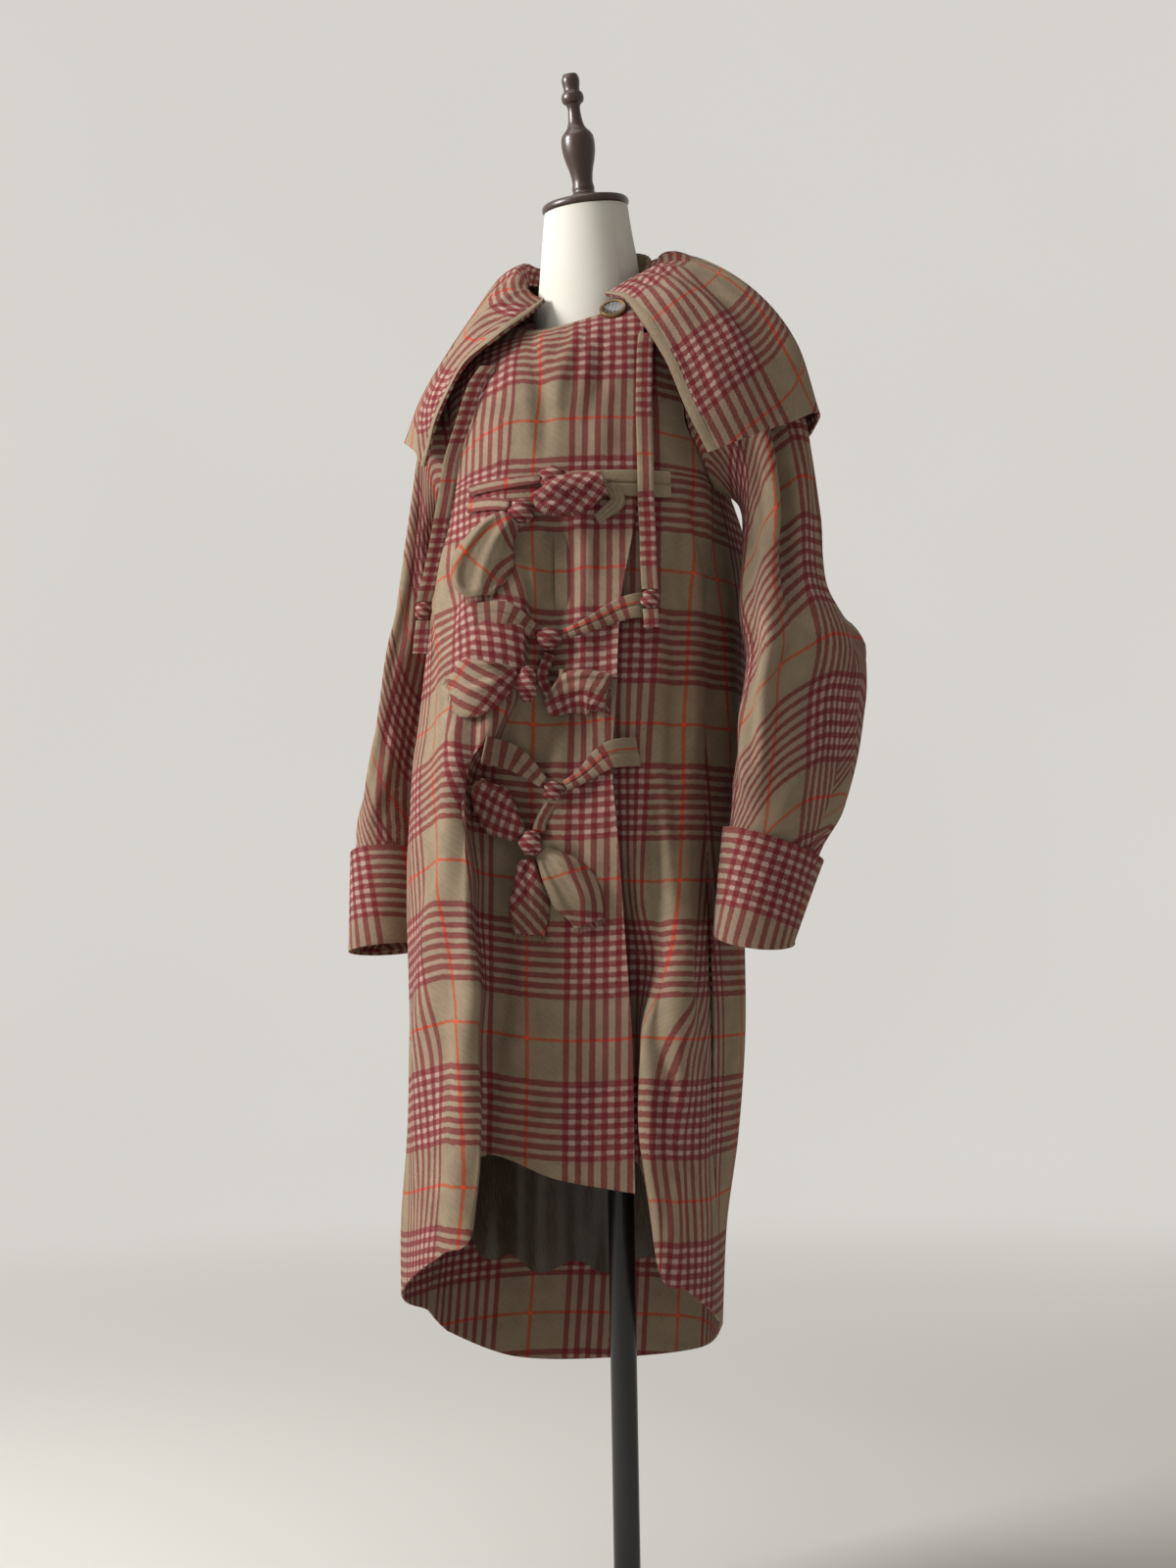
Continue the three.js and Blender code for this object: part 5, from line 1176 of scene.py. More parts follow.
def hood_border(name, shaped, step, seed):
    """The plain strip that binds a flap's front edge: it lies just proud of the flap."""
    normal = grid_normals(shaped, HOOD_INSIDE)[:, ::step]
    shaped = shaped[:, ::step]
    run = run_lengths(shaped, 1)[:, :16].mean(0)
    lines = []
    for place_in in np.linspace(0, BORDER, 7):
        at = np.interp(place_in, run, np.arange(len(run)))
        k = min(int(at), len(run) - 2)
        t = at - k
        line = shaped[:, k] * (1 - t) + shaped[:, k + 1] * t
        out = 0.55 + 0.9 * math.sin(math.pi * min(place_in / BORDER + 0.08, 1))
        wave = 0.35 * np.sin(np.arange(len(line)) * 0.55 + seed)[:, None]
        lines.append(line + normal[:, k] * (out + wave))
    rows = np.stack(lines, 1)
    sheet = plain_sheet(name + "_border", rows)
    facing_out(sheet, rows, HOOD_INSIDE)
    return finish_piece(wall(sheet, BORDER_WALL), WOOL, "plaid_wool")


HOOD_SHEETS = {name: hood_piece(name, first, last) for name, first, last in HOOD_PIECES}
hood_border("hood_flap_left", HOOD_SHEETS["hood_flap_left"], 1, 0.4)
hood_border("hood_flap_right", HOOD_SHEETS["hood_flap_right"], -1, 2.1)
print("hood done:", HOOD_GRID.shape)


# %% [markdown]
# Three ties close the coat. Each has a stitched tab on both sides, two narrow straps that run to a
# knot, and the cloth ends, which spread below it like leaves with raw edges. The solids hold their
# places, so each piece here asks the solid how far forward its front lies, and builds its folds on
# that. Every piece is a roll of thin cloth: a dome across its run, turned under at both edges.

# %% The ties' lines
TIE_PIECES = table("name stops", [
    ('tie1_tab_right_upper', ((-150, 1228, 6, 1.3), (-110, 1229, 6, 1.4), (-74, 1230, 5, 2))),
    ('tie1_tab_right_lower', ((-151, 1211, 7, 1.3), (-126, 1209, 7, 1.4), (-106, 1204, 6, 2))),
    ('tie1_tab_left',
     ((63, 1226, 14, 1.5), (20, 1225, 14, 1.5), (-19, 1226, 12, 2), (-43, 1231, 6, 3))),
    ('tie1_leaf_lower',
     ((-104, 1188, 12, 6), (-122, 1168, 24, 8), (-133, 1144, 31, 8),
      (-138, 1120, 28, 5), (-137, 1105, 14, 3))),
    ('tie1_leaf_upper',
     ((-80, 1203, 9, 6), (-60, 1206, 19, 8), (-34, 1214, 22, 7), (-8, 1222, 12, 4))),
    ('tie1_curl',
     ((-2, 1222, 6, 2), (6, 1206, 8, 3), (-4, 1194, 7, 3), (-16, 1186, 6, 2))),
    ('tie2_tab_right', ((-143, 1086, 12, 1.4), (-112, 1086, 12, 1.5), (-80, 1068, 7, 2.5))),
    ('tie2_tab_left',
     ((42, 1097, 13, 1.5), (10, 1090, 12, 1.5), (-24, 1074, 8, 2.5), (-50, 1064, 5, 3))),
    ('tie2_loop',
     ((-66, 1046, 6, 2.5), (-74, 1024, 6, 2), (-66, 1006, 6, 2),
      (-54, 1008, 6, 2), (-50, 1028, 6, 2))),
    ('tie2_leaf_left',
     ((-99, 1020, 9, 5), (-122, 1014, 22, 8), (-148, 1006, 30, 7), (-168, 1002, 20, 3))),
    ('tie2_leaf_right',
     ((-70, 988, 8, 3), (-48, 1000, 20, 5), (-28, 1005, 24, 6), (-8, 1000, 20, 3))),
    ('tie3_tab_right', ((-133, 945, 14, 1.4), (-104, 938, 13, 1.5), (-74, 912, 6, 2.5))),
    ('tie3_tab_left',
     ((23, 943, 15, 1.5), (-6, 938, 14, 1.5), (-34, 918, 8, 2.5), (-52, 908, 5, 3))),
    ('tie3_loop', ((-67, 891, 6, 2.5), (-77, 874, 6, 2), (-80, 862, 7, 3))),
    ('tie3_leaf_upper',
     ((-100, 858, 9, 4), (-116, 876, 20, 8), (-132, 898, 20, 6), (-140, 912, 8, 3))),
    ('tie3_leaf_lower',
     ((-92, 834, 9, 4), (-90, 810, 17, 8), (-90, 782, 21, 7), (-92, 758, 16, 3))),
    ('tie3_leaf_right',
     ((-76, 842, 8, 4), (-60, 822, 21, 8), (-40, 796, 26, 7), (-30, 768, 16, 3))),
])
# Half the size of each knot across, forward and up.
KNOTS = {
    "tie1_knot": (13, 9, 12), "tie1_knot_lower": (13, 10, 13), "tie2_knot": (13, 9, 12),
    "tie2_knot_lower": (10, 9, 19), "tie3_knot": (10, 8, 10), "tie3_knot_lower": (11, 9, 13),
}
TIE_SPREAD, TIE_STATIONS, TIE_WALL = 118, 44, 1.3


def front_finder(node):
    """How far forward a solid reaches at a place across and a height, in millimetres."""
    mesh = bpy.data.objects[node].data
    flat = np.empty(len(mesh.vertices) * 3)
    mesh.vertices.foreach_get("co", flat)
    corners = [Vector(corner) for corner in to_front(flat.reshape(-1, 3) / MM)]
    tree = BVHTree.FromPolygons(corners, [list(face.vertices) for face in mesh.polygons])

    def find(across, height):
        hit = tree.ray_cast(Vector((across, 400, height)), Vector((0, -1, 0)))[0]
        if hit is None:
            hit = tree.find_nearest(Vector((across, 190, height)))[0]
        return hit.y
    return find


def turned_cut(across, down, start, turn, plain=False):
    """Where a piece was cut from the cloth: turned by degrees and moved to its place in the check."""
    if plain:
        return plain_run(across), plain_run(down, 90)
    c, s = math.cos(math.radians(turn)), math.sin(math.radians(turn))
    return start[0] + across * c - down * s, start[1] + across * s + down * c


def tie_grid(stops, find, squareness, pleats, groove, flare):
    """Grid of a roll of cloth over its stops, each (across, height, half width, half thickness)."""
    stops = np.array(stops, float)
    at = np.linspace(0, 1, TIE_STATIONS)
    knots_at = np.linspace(0, 1, len(stops))
    line = curve_places(np.stack([stops[:, 0], stops[:, 1], 0 * stops[:, 0]], -1), at)[:, :2]
    half = np.maximum(smooth_through(knots_at, stops[:, 2], at), 2.0)
    thick = np.maximum(smooth_through(knots_at, stops[:, 3], at), 1.2)
    crest = np.array([find(*point) for point in line])
    crest = np.convolve(np.pad(crest, 3, mode="edge"), np.ones(7) / 7, mode="valid")
    run = np.gradient(line, axis=0)
    run /= np.linalg.norm(run, axis=1, keepdims=True)
    aside = np.stack([run[:, 1], -run[:, 0]], -1)
    turn = np.radians(np.linspace(-TIE_SPREAD, TIE_SPREAD, 41))
    side = np.sign(np.sin(turn)) * np.abs(np.sin(turn)) ** 0.9
    dome = np.sign(np.cos(turn)) * np.abs(np.cos(turn)) ** squareness
    depth = np.where(dome > 0, thick[:, None] * 2 * (dome - 1), thick[:, None] * (-2 + 0.6 * dome))
    fold = np.zeros((TIE_STATIONS, len(turn)))
    for count, deep, phase, low, high in pleats:
        reach = smoothstep(at, low, low + 0.2) * (1 - smoothstep(at, high - 0.2, high))
        wave = np.cos(count * math.pi * side[None, :] + phase + 0.9 * np.sin(3 * at[:, None] + phase))
        fold += deep * wave * reach[:, None] * np.maximum(np.cos(turn), 0) ** 0.4
    fold -= groove * np.exp(-(side[None, :] / 0.07) ** 2)
    edge = 1 + flare * np.sin(np.pi * at[:, None] * 3 + 2 * side[None, :]) * 0.05
    across = line[:, :1] + aside[:, :1] * half[:, None] * side * edge
    height = line[:, 1:] + aside[:, 1:] * half[:, None] * side * edge
    rows = place(across, crest[:, None] + depth + fold, height)
    length = run_lengths(line, 0)
    return rows, side[None, :] * half[:, None] * 1.2, np.broadcast_to(length[:, None], rows.shape[:2])


def tie_cloth(node, stops, start=(0, 0), turn=0, plain=False,
              squareness=0.7, pleats=(), groove=0.0, flare=0.0):
    rows, across, down = tie_grid(stops, front_finder(node), squareness, pleats, groove, flare)
    sheet = grid_mesh(node + "_cloth", rows, *turned_cut(across, down, start, turn, plain))
    middle = rows[TIE_STATIONS // 2, 20]
    facing_out(sheet, rows, middle - place(0, 60, 0))
    finish_piece(wall(sheet, TIE_WALL), WOOL, "tie_wool", node)
    return rows


print("tie pieces:", len(TIE_PIECES), "and knots:", len(KNOTS))

# %% Tabs, straps and leaves
TIE_LINES = {row["name"]: row["stops"] for row in TIE_PIECES}
# Start of each cut in the check, in millimetres, its turn, and its folds: count, depth, phase, extent.
TIE_CUTS = {
    "tie1_tab_right_upper": dict(start=(0, 20), turn=90, squareness=0.35, groove=0.3),
    "tie1_tab_right_lower": dict(start=(90, 118), turn=0, squareness=0.35),
    "tie1_tab_left": dict(plain=True, squareness=0.3, groove=1.6),
    "tie1_leaf_lower": dict(start=(140, 64), turn=24,
        pleats=((2.0, 2.4, 0.5, 0, 1), (5, 0.8, 1, 0.1, 0.9)), flare=1),
    "tie1_leaf_upper": dict(start=(20, 10), turn=-38,
        pleats=((1.6, 2.2, 1.8, 0, 1), (4, 0.8, 0, 0, 0.9)), flare=1),
    "tie1_curl": dict(plain=True, pleats=((3, 1.2, 0, 0, 1),), flare=2),
    "tie2_tab_right": dict(start=(84, 96), turn=90, squareness=0.35, groove=1.3),
    "tie2_tab_left": dict(start=(128, 118), turn=90, squareness=0.35, groove=1.4),
    "tie2_loop": dict(start=(3, 30), turn=0, squareness=0.5, groove=0.5),
    "tie2_leaf_left": dict(start=(60, 70), turn=52,
        pleats=((1.8, 2.6, 0.4, 0, 1), (4, 0.9, 1, 0, 0.8)), flare=1),
    "tie2_leaf_right": dict(start=(8, 6), turn=12,
        pleats=((3, 1.8, 1.5, 0, 1), (6, 0.8, 0, 0.3, 1)), flare=2),
    "tie3_tab_right": dict(start=(88, 100), turn=90, squareness=0.35, groove=1.3),
    "tie3_tab_left": dict(start=(131, 118), turn=90, squareness=0.35, groove=1.4),
    "tie3_loop": dict(start=(3, 90), turn=0, squareness=0.5, groove=0.5),
    "tie3_leaf_upper": dict(start=(30, 20), turn=-30,
        pleats=((2.4, 2.0, 0, 0, 1), (6, 0.9, 1, 0.2, 1)), flare=2),
    "tie3_leaf_lower": dict(start=(20, 6), turn=40,
        pleats=((1.8, 2.4, 2.4, 0, 1), (4, 0.8, 1, 0, 0.9)), flare=1),
    "tie3_leaf_right": dict(start=(120, 92), turn=20,
        pleats=((1.5, 2.6, 0.7, 0, 1), (5, 0.8, 2, 0, 0.9)), flare=1),
}
TIE_GRIDS = {name: tie_cloth(name, TIE_LINES[name], **cut) for name, cut in TIE_CUTS.items()}
for k, (name, half) in enumerate(KNOTS.items()):
    low, high = (np.array(corner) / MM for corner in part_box(name))
    lump = knot_mesh(name + "_cloth", (low + high) / 2, half, 2.4, 1.7 * k)
    finish_piece(lump, WOOL, "tie_wool", name)
print("laid", len(TIE_GRIDS), "pieces of the ties")


# %% [markdown]
# Inside the open hem shows the satin lining. It hangs from inside the back and ends in a row of sags
# above the plaid facing, because a lining is cut a little long so that it never pulls at the wool.

# %% Satin lining
def satin():
    material, net, shader = new_material("satin lining")
    cloth = net.put("ShaderNodeUVMap", uv_map="cloth").outputs[0]
    fine = net.noise(net.put("ShaderNodeMapping", {0: cloth, "Scale": (900, 40, 1)}).outputs[0], 1.0, 3.0)
    cloud = net.noise(cloth, 14.0, 2.0, Distortion=1.2)
    # The cloud between a lighter and a darker brown is painted sheen: the swoops of the satin's shine.
    net.feed(shader, {
        "Base Color": net.mix(cloud, lit(84, 70, 56), lit(52, 42, 33)), "Sheen Weight": 0.1,
        "Roughness": net.between(fine, 0.2, 0.34), "Normal": net.relief(fine, 0.25, 0.0003),
    })
    return material


LINING_TOP, LINING_RISE, LINING_SAG, LINING_DEPTH = 640, 112, 16, 9


def lining_rows(columns=260, count=60):
    share = (1 + np.linspace(0, 32, columns) / 2) / 18
    sag = LINING_SAG * np.sin(np.linspace(0, 1, columns) * math.pi * 7) ** 2
    bottom = BACK_PANEL.hem_height(share) + LINING_RISE - sag
    rows = []
    for fall in np.linspace(0, 1, count):
        height = LINING_TOP + (bottom - LINING_TOP) * fall
        wall_at = BACK_PANEL.section_points(share, height)
        before, after = (BACK_PANEL.section_points(share + step, height) for step in (-0.01, 0.01))
        onward = after - before
        inward = np.stack([onward[:, 1], -onward[:, 0], 0 * onward[:, 0]], -1)
        inward /= np.linalg.norm(inward, axis=1, keepdims=True)
        inward *= np.sign(np.sum(inward * (BODY_MIDDLE - wall_at), 1))[:, None]
        ripple = 1.6 * np.sin(share * 95 + 2 * fall) * fall
        ripple = ripple + 3.2 * np.sin(share * 41 + 1.0 + 2.2 * fall) * fall ** 2
        rows.append(wall_at + inward * (CLOTH_WALL + 2 + LINING_DEPTH * fall ** 0.8 + ripple)[:, None])
    return np.stack(rows)


satin_rows = lining_rows()
lining = grid_mesh("lining_back_satin", satin_rows, run_lengths(satin_rows, 1), run_lengths(satin_rows, 0))
facing_out(lining, satin_rows, BODY_MIDDLE)
finish_piece(wall(lining, 1.0), satin(), "satin", "lining_back")
print("lining done")

# %% [markdown]
# The form under the coat is padded and covered in linen, with a seam round the neck. The solid has
# flat sides, so the neck and body are made again from the same rings with more of them. The cap and
# its finial are turned wood, and the pole and base are black lacquered metal.

# %% Linen body of the form
TORSO = table("height y half_width half_depth", [
    (1300, -32, 116, 88), (1240, -34, 116, 90), (1150, -32, 108, 84), (1060, -30, 100, 78),
    (980, -28, 112, 88), (885, -28, 122, 96),
])
FORM_NECK = table("height y radius", [(1494, -32, 53), (1532, -37, 49), (1565, -42, 46.5)])
NECK_TILT = 10


def form_rings(sides=96):
    angle = np.arange(sides) / sides * 360
    turn = np.radians(angle)
    rings = []
    for ring in reversed(FORM_NECK):
        rings.append(np.stack([ring["radius"] * np.sin(turn), ring["y"] - ring["radius"] * np.cos(turn),
                               ring["height"] - NECK_TILT * np.cos(turn)], -1))
    rings.append(neckline_at(angle, -10, 6))
    room = 9 * np.maximum(np.cos(np.radians(angle - 25)), 0) ** 0.5
    for fall in (0, 0.2, 0.4, 0.6, 0.8, 1):
        side = np.sin(turn) ** 2
        top = neckline_at(angle, -5 - room, -3.4)
        chest = torso_ring(TORSO[0], turn)
        out = math.sin(fall * math.pi / 2) ** (1 - 0.45 * side)
        down = np.clip(math.cos(fall * math.pi / 2), 0, 1) ** (1 - 0.45 * side)
        point = top + (chest - top) * out[:, None]
        point[:, 2] = chest[:, 2] + (top[:, 2] - chest[:, 2]) * down
        rings.append(point)
    rings += [torso_ring(ring, turn) for ring in TORSO[1:]]
    return np.stack(rings)


def torso_ring(ring, turn):
    return np.stack([ring["half_width"] * np.sin(turn), ring["y"] - ring["half_depth"] * np.cos(turn),
                     np.full_like(turn, ring["height"])], -1)


def linen():
    material, net, shader = new_material("linen")
    cloth = net.put("ShaderNodeUVMap", uv_map="cloth").outputs[0]
    axes = net.put("ShaderNodeSeparateXYZ", {0: cloth})
    warp = net.sum("SINE", net.sum("MULTIPLY", axes.outputs[0], 2 * math.pi / 0.0011))
    weft = net.sum("SINE", net.sum("MULTIPLY", axes.outputs[1], 2 * math.pi / 0.0012))
    slub = net.noise(cloth, 60.0, 5.0)
    weave = net.sum("ADD", net.sum("MULTIPLY", warp, weft), slub)
    net.feed(shader, {
        "Base Color": net.mix(slub, lit(208, 204, 194), lit(192, 187, 175)),
        "Roughness": 0.85, "Normal": net.relief(weave, 0.35, 0.0003),
    })
    return material


form_rows = form_rings()
between = np.linspace(0, len(form_rows) - 1, 6 * (len(form_rows) - 1) + 1)
form_fine = np.stack([curve_places_each(form_rows, s / (len(form_rows) - 1)) for s in between])
SEAM_HEIGHT, SEAM_TILT, SEAM_HALF, SEAM_DEPTH = 1499, 9, 1.6, 0.9
from_seam = form_fine[..., 2] - SEAM_HEIGHT + SEAM_TILT * np.cos(np.arange(96) / 96 * 2 * np.pi)
seam_near = np.exp(-(from_seam / SEAM_HALF) ** 2)
inward = form_fine.mean(1, keepdims=True) - form_fine
inward /= np.linalg.norm(inward, axis=-1, keepdims=True)
form_fine = form_fine + inward * SEAM_DEPTH * seam_near[..., None]
form_across, form_down = run_lengths(form_fine, 1), run_lengths(form_fine, 0)
form_body = grid_mesh("form_torso_linen", form_fine, form_across, form_down, True)
close_ends(form_body)
finish_piece(form_body, linen(), "linen", "form_torso")
print("form body:", form_fine.shape)

# %% Turned cap, pole and base
CAP_PROFILE = (
    (0, 0), (46, 0), (48.5, 2), (48.5, 6), (46, 9), (20, 13), (17, 16), (12.5, 19), (12.5, 24), (11.5, 30),
    (13, 42), (16.5, 55), (18.5, 66), (18.5, 76), (17, 82), (10.5, 90), (8, 98), (7.5, 114), (11.5, 118),
    (12.5, 122), (11.5, 127), (9, 130), (10, 142), (8, 148), (0, 150),
)


def spun(name, profile, steps=72):
    """A turned piece: its profile is drawn in the XZ plane and spun round the upright axis."""
    mesh = bpy.data.meshes.new(name)
    points = [(radius * MM, 0, height * MM) for radius, height in profile]
    mesh.from_pydata(points, [(k, k + 1) for k in range(len(points) - 1)], [])
    piece = bpy.data.objects.new(name, mesh)
    scene.collection.objects.link(piece)
    only(piece)
    bpy.ops.object.mode_set(mode="EDIT")
    bpy.ops.mesh.select_all(action="SELECT")
    bpy.ops.mesh.spin(steps=steps, angle=2 * math.pi, center=(0, 0, 0), axis=(0, 0, 1))
    bpy.ops.mesh.select_all(action="SELECT")
    bpy.ops.mesh.remove_doubles(threshold=0.00002)
    bpy.ops.mesh.normals_make_consistent(inside=False)
    bpy.ops.object.mode_set(mode="OBJECT")
    return piece


def rounded(profile, cuts=4):
    """A profile with soft turnings: smooth between its points, but with its first and last kept."""
    stops = np.array([(r, h, 0) for r, h in profile], float)
    inner = curve_places(stops[1:-1], np.linspace(0, 1, (len(stops) - 3) * cuts + 1))
    return [tuple(stops[0][:2])] + [(max(p[0], 0.5), p[1]) for p in inner] + [tuple(stops[-1][:2])]


def turned_wood():
    material, net, shader = new_material("turned wood")
    where = net.put("ShaderNodeTexCoord").outputs["Object"]
    grain = net.put("ShaderNodeMapping", {0: where, "Scale": (60, 60, 7)}).outputs[0]
    rings, pores = net.noise(grain, 2.2, 6.0, Distortion=0.6), net.noise(grain, 14.0, 3.0)
    net.feed(shader, {
        "Base Color": net.mix(rings, lit(34, 22, 17), lit(72, 46, 33)),
        "Roughness": net.between(pores, 0.3, 0.5), "Normal": net.relief(pores, 0.3, 0.0003),
        "Coat Weight": 0.35, "Coat Roughness": 0.2,
    })
    return material


cap = spun("form_neck_cap_turned", rounded(CAP_PROFILE))
lean = math.atan(NECK_TILT / FORM_NECK[2]["radius"])
lean_turn = Matrix.Rotation(lean, 4, "X")
cap.data.transform(Matrix.Translation((0, -42 * MM, (1565 + 0.35) * MM)) @ lean_turn)
finish_piece(smooth(cap, 40), turned_wood(), "turned_wood", "form_neck_cap")

BLACK = plain_surface("black lacquered metal", lit(9, 9, 10), 0.3, grain=900, bump=0.00005, coat=0.15)
pole = spun("form_pole_round", [(0, 10.35), (14.3, 10.35), (14.3, 400), (14.3, 884.65), (0, 884.65)], 64)
finish_piece(smooth(pole, 40), BLACK, "black_metal", "form_pole")
BASE_PROFILE = [(0, 0), (168, 0), (170, 2), (170, 7), (169, 8.6), (166, 9.5), (60, 10), (22, 10), (0, 10)]
base = spun("form_base_round", BASE_PROFILE, 128)
finish_piece(smooth(base, 40), BLACK, "black_metal", "form_base")
print("cap, pole and base done")

# %% [markdown]
# The button is polished shell in a thin brass rim. The shell is dished, and its glints are painted
# highlights: crooked bands of light and dark in its colour.

# %% Button
BUTTON_SHELL = ((0, 1.6), (4, 1.7), (8, 2.3), (10.8, 3.2), (11.2, 2.2), (11.2, 0.4), (0, 0.4))
BUTTON_RIM = ((10.6, 0), (12.5, 0), (14.2, 0.9), (15, 2.6), (14.6, 4.1), (13.2, 4.8), (11.6, 4.4),
              (10.8, 3.2), (10.6, 1.5), (10.6, 0))


def button_facing():
    """The button's own axis and seat, from the solid: the flat underside is its largest flat face."""
    mesh = bpy.data.objects["button"].data
    total = Vector((0, 0, 0))
    for face in mesh.polygons:
        if face.normal.dot(Vector(tuple(place(0, 1, 0)))) < -0.5:
            total += face.normal * face.area
    axis = -total.normalized()
    corners = np.array([v.co for v in mesh.vertices])
    depth = corners @ np.array(axis)
    low = corners[depth < depth.min() + 0.00005]
    return axis, Vector(tuple(low.mean(0)))


def shell():
    material, net, shader = new_material("dark shell")
    where = net.put("ShaderNodeTexCoord").outputs["Object"]
    cloud = net.noise(where, 140.0, 4.0, Distortion=1.5)
    bands = {"Vector": where, "Scale": 90.0, "Distortion": 9.0, "Detail": 3.0}
    # The wave bands are painted glints: highlights of the polished shell, laid into its base colour.
    painted_glints = net.put("ShaderNodeTexWave", bands).outputs["Fac"]
    net.feed(shader, {
        "Base Color": net.mix(painted_glints, lit(30, 22, 19), lit(92, 80, 72)),
        "Roughness": net.between(cloud, 0.08, 0.2), "Normal": net.relief(painted_glints, 0.4, 0.0004),
        "Coat Weight": 0.8, "Coat Roughness": 0.05,
    })
    return material


def seated(piece, axis, seat):
    turn = Vector((0, 0, 1)).rotation_difference(axis).to_matrix().to_4x4()
    piece.data.transform(Matrix.Translation(seat) @ turn)
    return smooth(piece, 40)


axis, seat = button_facing()
disc = seated(spun("button_shell", BUTTON_SHELL, 64), axis, seat)
finish_piece(disc, shell(), "button", "button")
BRASS = plain_surface("worn brass", lit(118, 88, 52), 0.35, grain=700, bump=0.0001, coat=0.3, metallic=0.7)
rim = seated(spun("button_rim", BUTTON_RIM, 64), axis, seat)
finish_piece(rim, BRASS, "button")
print("button faces", [round(c, 2) for c in axis])


# %% [markdown]
# The ends of the ties are cut raw, so threads stand out of them, and one long thread hangs from the
# lowest tie. A thread is a thin tube along a path that falls and wanders a little.

# %% Loose threads
def thread_tube(path, radius=0.22, sides=4):
    path = np.asarray(path, float)
    run = np.gradient(path, axis=0)
    run /= np.linalg.norm(run, axis=1, keepdims=True)
    first = np.cross(run, (0.3, 0.2, 0.93))
    first /= np.maximum(np.linalg.norm(first, axis=1, keepdims=True), 1e-6)
    second = np.cross(run, first)
    turn = np.arange(sides) / sides * 2 * math.pi
    ring = first[:, None] * np.cos(turn)[None, :, None] + second[:, None] * np.sin(turn)[None, :, None]
    return path[:, None] + radius * ring


def threads(name, starts, outward, length, seed):
    """Frayed threads at a raw edge, in one piece of their own."""
    chance = np.random.default_rng(seed)
    rows = []
    for start in starts:
        reach = length * chance.uniform(0.35, 1.0)
        heading = outward + chance.normal(0, 0.45, 3)
        heading /= np.linalg.norm(heading)
        at = np.linspace(0, 1, 6)[:, None]
        path = start + heading * reach * at + np.array([0, 0, -0.5]) * reach * at ** 2
        path = path + chance.normal(0, 0.35, (6, 3)) * at
        rows.append(thread_tube(path))
    pieces = []
    for k, tube in enumerate(rows):
        u = np.full((len(tube), 5), 108.0 if k % 3 else 2.0)
        v = np.broadcast_to(np.linspace(100, 108, len(tube))[:, None], u.shape)
        pieces.append(grid_mesh(f"{name}_{k}", tube, u, v, True))
    only(pieces[0])
    for piece in pieces[1:]:
        piece.select_set(True)
    bpy.ops.object.join()
    joined = bpy.context.view_layer.objects.active
    joined.name = name
    return finish_piece(smooth(joined, 60), WOOL, "tie_wool")


FRAYED = ("tie1_leaf_upper", "tie1_leaf_lower", "tie2_leaf_left", "tie2_leaf_right",
          "tie3_leaf_upper", "tie3_leaf_lower", "tie3_leaf_right")
FRINGES = {}
for k, name in enumerate(FRAYED):
    grid = TIE_GRIDS[name]
    onward = (grid[-1] - grid[-4]).mean(0)
    FRINGES[name] = threads(name + "_threads", grid[-1], onward / np.linalg.norm(onward), 6.5, 40 + k)
hanging = TIE_GRIDS["tie3_leaf_lower"][6, 4]
fall = np.linspace(0, 1, 14)[:, None]
long_path = hanging + np.array([[-9, -4, -58]]) * fall + np.array([[3.2, 1.4, 0]]) * np.sin(fall * 7.5)
tube = thread_tube(long_path, 0.25)
across, down = np.full((14, 5), 108.0), np.full((14, 5), 104.0) + fall * 4
long_thread = grid_mesh("tie3_long_thread", tube, across, down, True)
finish_piece(smooth(long_thread, 60), WOOL, "tie_wool")
print("frayed", len(FRINGES), "ends")
